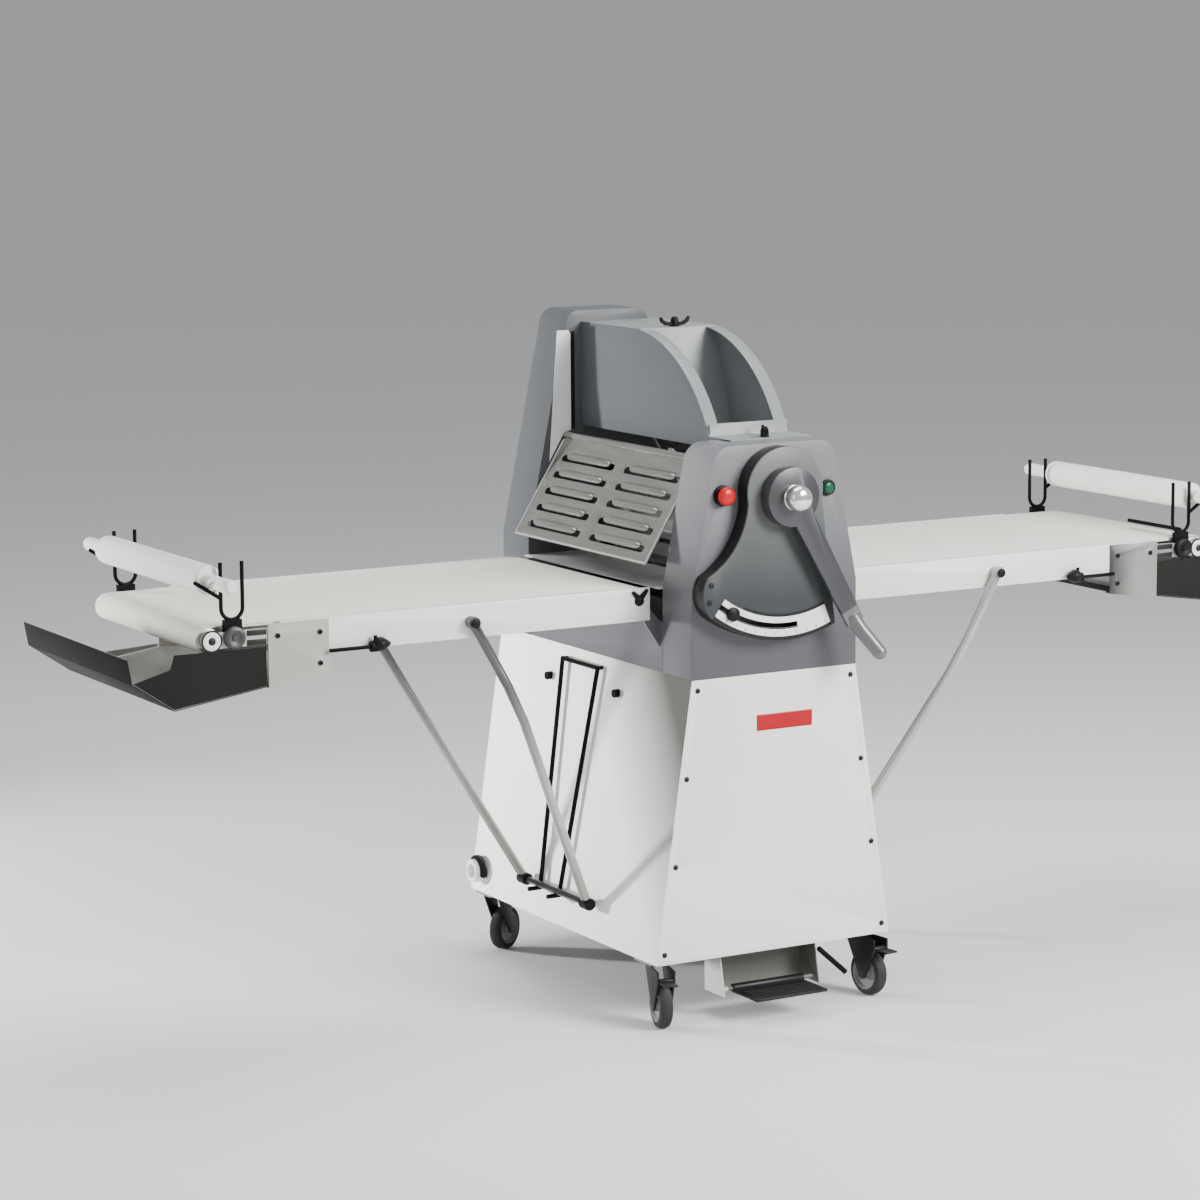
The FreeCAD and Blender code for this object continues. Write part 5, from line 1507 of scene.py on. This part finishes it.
    def pin(self) -> None:
        """Turned rolling pin with rounded shoulders and knobbed handles."""
        body = self.node("rolling_pin")
        low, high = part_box(self.node("rolling_pin"))
        half = (high.y - low.y) / 2
        barrel = half - self.handle
        end = [(0.0, half), (0.008, half - 0.0006), (0.0125, half - 0.004), (0.0147, half - 0.012),
               (0.0149, half - 0.030), (0.0138, half - 0.050), (0.0140, barrel + 0.020),
               (0.0149, barrel + 0.006), (0.0149, barrel), (0.026, barrel - 0.0008),
               (0.0291, barrel - 0.004), (0.0299, barrel - 0.012)]
        pin = self.bench.lathe(body + "_turned", mirrored(end), tuple((low + high) / 2), TO_BACK, 40)
        self.bench.hand_over(pin, body, PIN_WHITE, "pin_white", body)


@dataclass(frozen=True)
class Light:
    """Square soft light that looks at the machine."""

    name: str
    place: Point
    size: float
    power: float
    spread: float = 180.0
    glossy: bool = True


@dataclass
class Studio:
    """Pale floor, soft lights and the camera."""

    camera_place: Point = (-4.0215, -6.6945, 2.0564)
    yaw: float = 29.605
    pitch: float = 8.822
    roll: float = -0.414
    lens: float = 108.9
    sensor: float = 36.0
    sight: float = 1000.0
    floor_size: float = 800.0
    floor_tone: float = 0.74
    floor_roughness: float = 0.9
    sky_tone: Colour = (0.97, 0.98, 1.0)
    sky_strength: float = 0.50
    aim: Point = (0.0, 0.0, 0.8)
    lights: tuple[Light, ...] = (Light("key_light", (2.6, -5.2, 3.6), 2.5, 680.0),
                                 Light("fill_light", (-5.0, -2.5, 2.6), 3.0, 40.0),
                                 Light("side_light", (-3.2, 3.4, 0.7), 0.4, 106.0, 80.0, False),
                                 Light("top_light", (0.0, 0.5, 5.0), 3.5, 170.0))

    def build(self) -> None:
        """Set up the stage."""
        self.floor()
        self.sky()
        self.lamps()
        self.camera()

    def floor(self) -> None:
        """Wide pale floor that runs into the backdrop."""
        Bench.clear()
        bpy.ops.mesh.primitive_plane_add(size=self.floor_size, location=ORIGIN)
        floor = bpy.context.object
        floor.name = "studio_floor"
        material = bpy.data.materials.new("pale_floor")
        material.use_nodes = True
        Wiring(material.node_tree).feed(material.node_tree.nodes["Principled BSDF"], {
            "Base Color": (*[self.floor_tone] * 3, 1.0), "Roughness": self.floor_roughness,
            "Specular IOR Level": 0.0})
        floor.data.materials.append(material)

    def sky(self) -> None:
        """Even light from all round, with a backdrop that the camera sees in the floor's tone."""
        world = bpy.data.worlds.new("soft_studio")
        bpy.context.scene.world = world
        world.use_nodes = True
        wires, nodes = Wiring(world.node_tree), world.node_tree.nodes
        tone = (*self.sky_tone, 1.0)
        sky = nodes["Background"]
        wires.feed(sky, {"Color": tone, "Strength": self.sky_strength})
        backdrop = wires.add("Background", {"Color": tone, "Strength": self.sky_strength * self.floor_tone})
        seen = wires.add("LightPath", {}).outputs["Is Camera Ray"]
        either = wires.add("MixShader", {"Fac": seen, 1: sky.outputs[0], 2: backdrop.outputs[0]})
        wires.feed(nodes["World Output"], {"Surface": either.outputs[0]})

    def lamps(self) -> None:
        """Soft lights from the front right, the left, behind the left panel and above."""
        for light in self.lights:
            lamp = bpy.data.lights.new(light.name, "AREA")
            lamp.energy = light.power
            lamp.size = light.size
            lamp.spread = math.radians(light.spread)
            item = add_object(light.name, lamp)
            item.location = light.place
            item.visible_glossy = light.glossy
            look = Vector(self.aim) - Vector(light.place)
            item.rotation_euler = look.to_track_quat("-Z", "Y").to_euler()

    def camera(self) -> None:
        """Camera at the photograph's place and angle."""
        yaw, pitch, roll = (math.radians(v) for v in (self.yaw, self.pitch, self.roll))
        ahead = Vector((math.sin(yaw) * math.cos(pitch), math.cos(yaw) * math.cos(pitch), -math.sin(pitch)))
        level = Vector((math.cos(yaw), -math.sin(yaw), 0.0))
        upright = level.cross(ahead)
        right = level * math.cos(roll) + upright * math.sin(roll)
        up = upright * math.cos(roll) - level * math.sin(roll)
        data = bpy.data.cameras.new("studio_camera")
        data.lens = self.lens
        data.sensor_width = self.sensor
        data.clip_end = self.sight
        camera = add_object("studio_camera", data)
        turn = Matrix((right, up, -ahead)).transposed().to_4x4()
        camera.matrix_world = Matrix.Translation(self.camera_place) @ turn
        bpy.context.scene.camera = camera


def main() -> None:
    """Build every sub-assembly in order."""
    logging.basicConfig(level=logging.INFO, format="%(name)s: %(message)s")
    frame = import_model()
    bench = Bench(frame, Finishes())
    Cabinet(bench).build()
    Casters(bench).build()
    FootPedal(bench).build()
    PowerInlet(bench).build()
    Head(bench).build()
    Dial(bench).build()
    FlourBin(bench).build()
    for side in Side:
        RollGuard(bench, side).build()
        BeltTable(bench, side).build()
    Studio().build()
    Bench.clear()


if __name__ == "__main__":
    main()
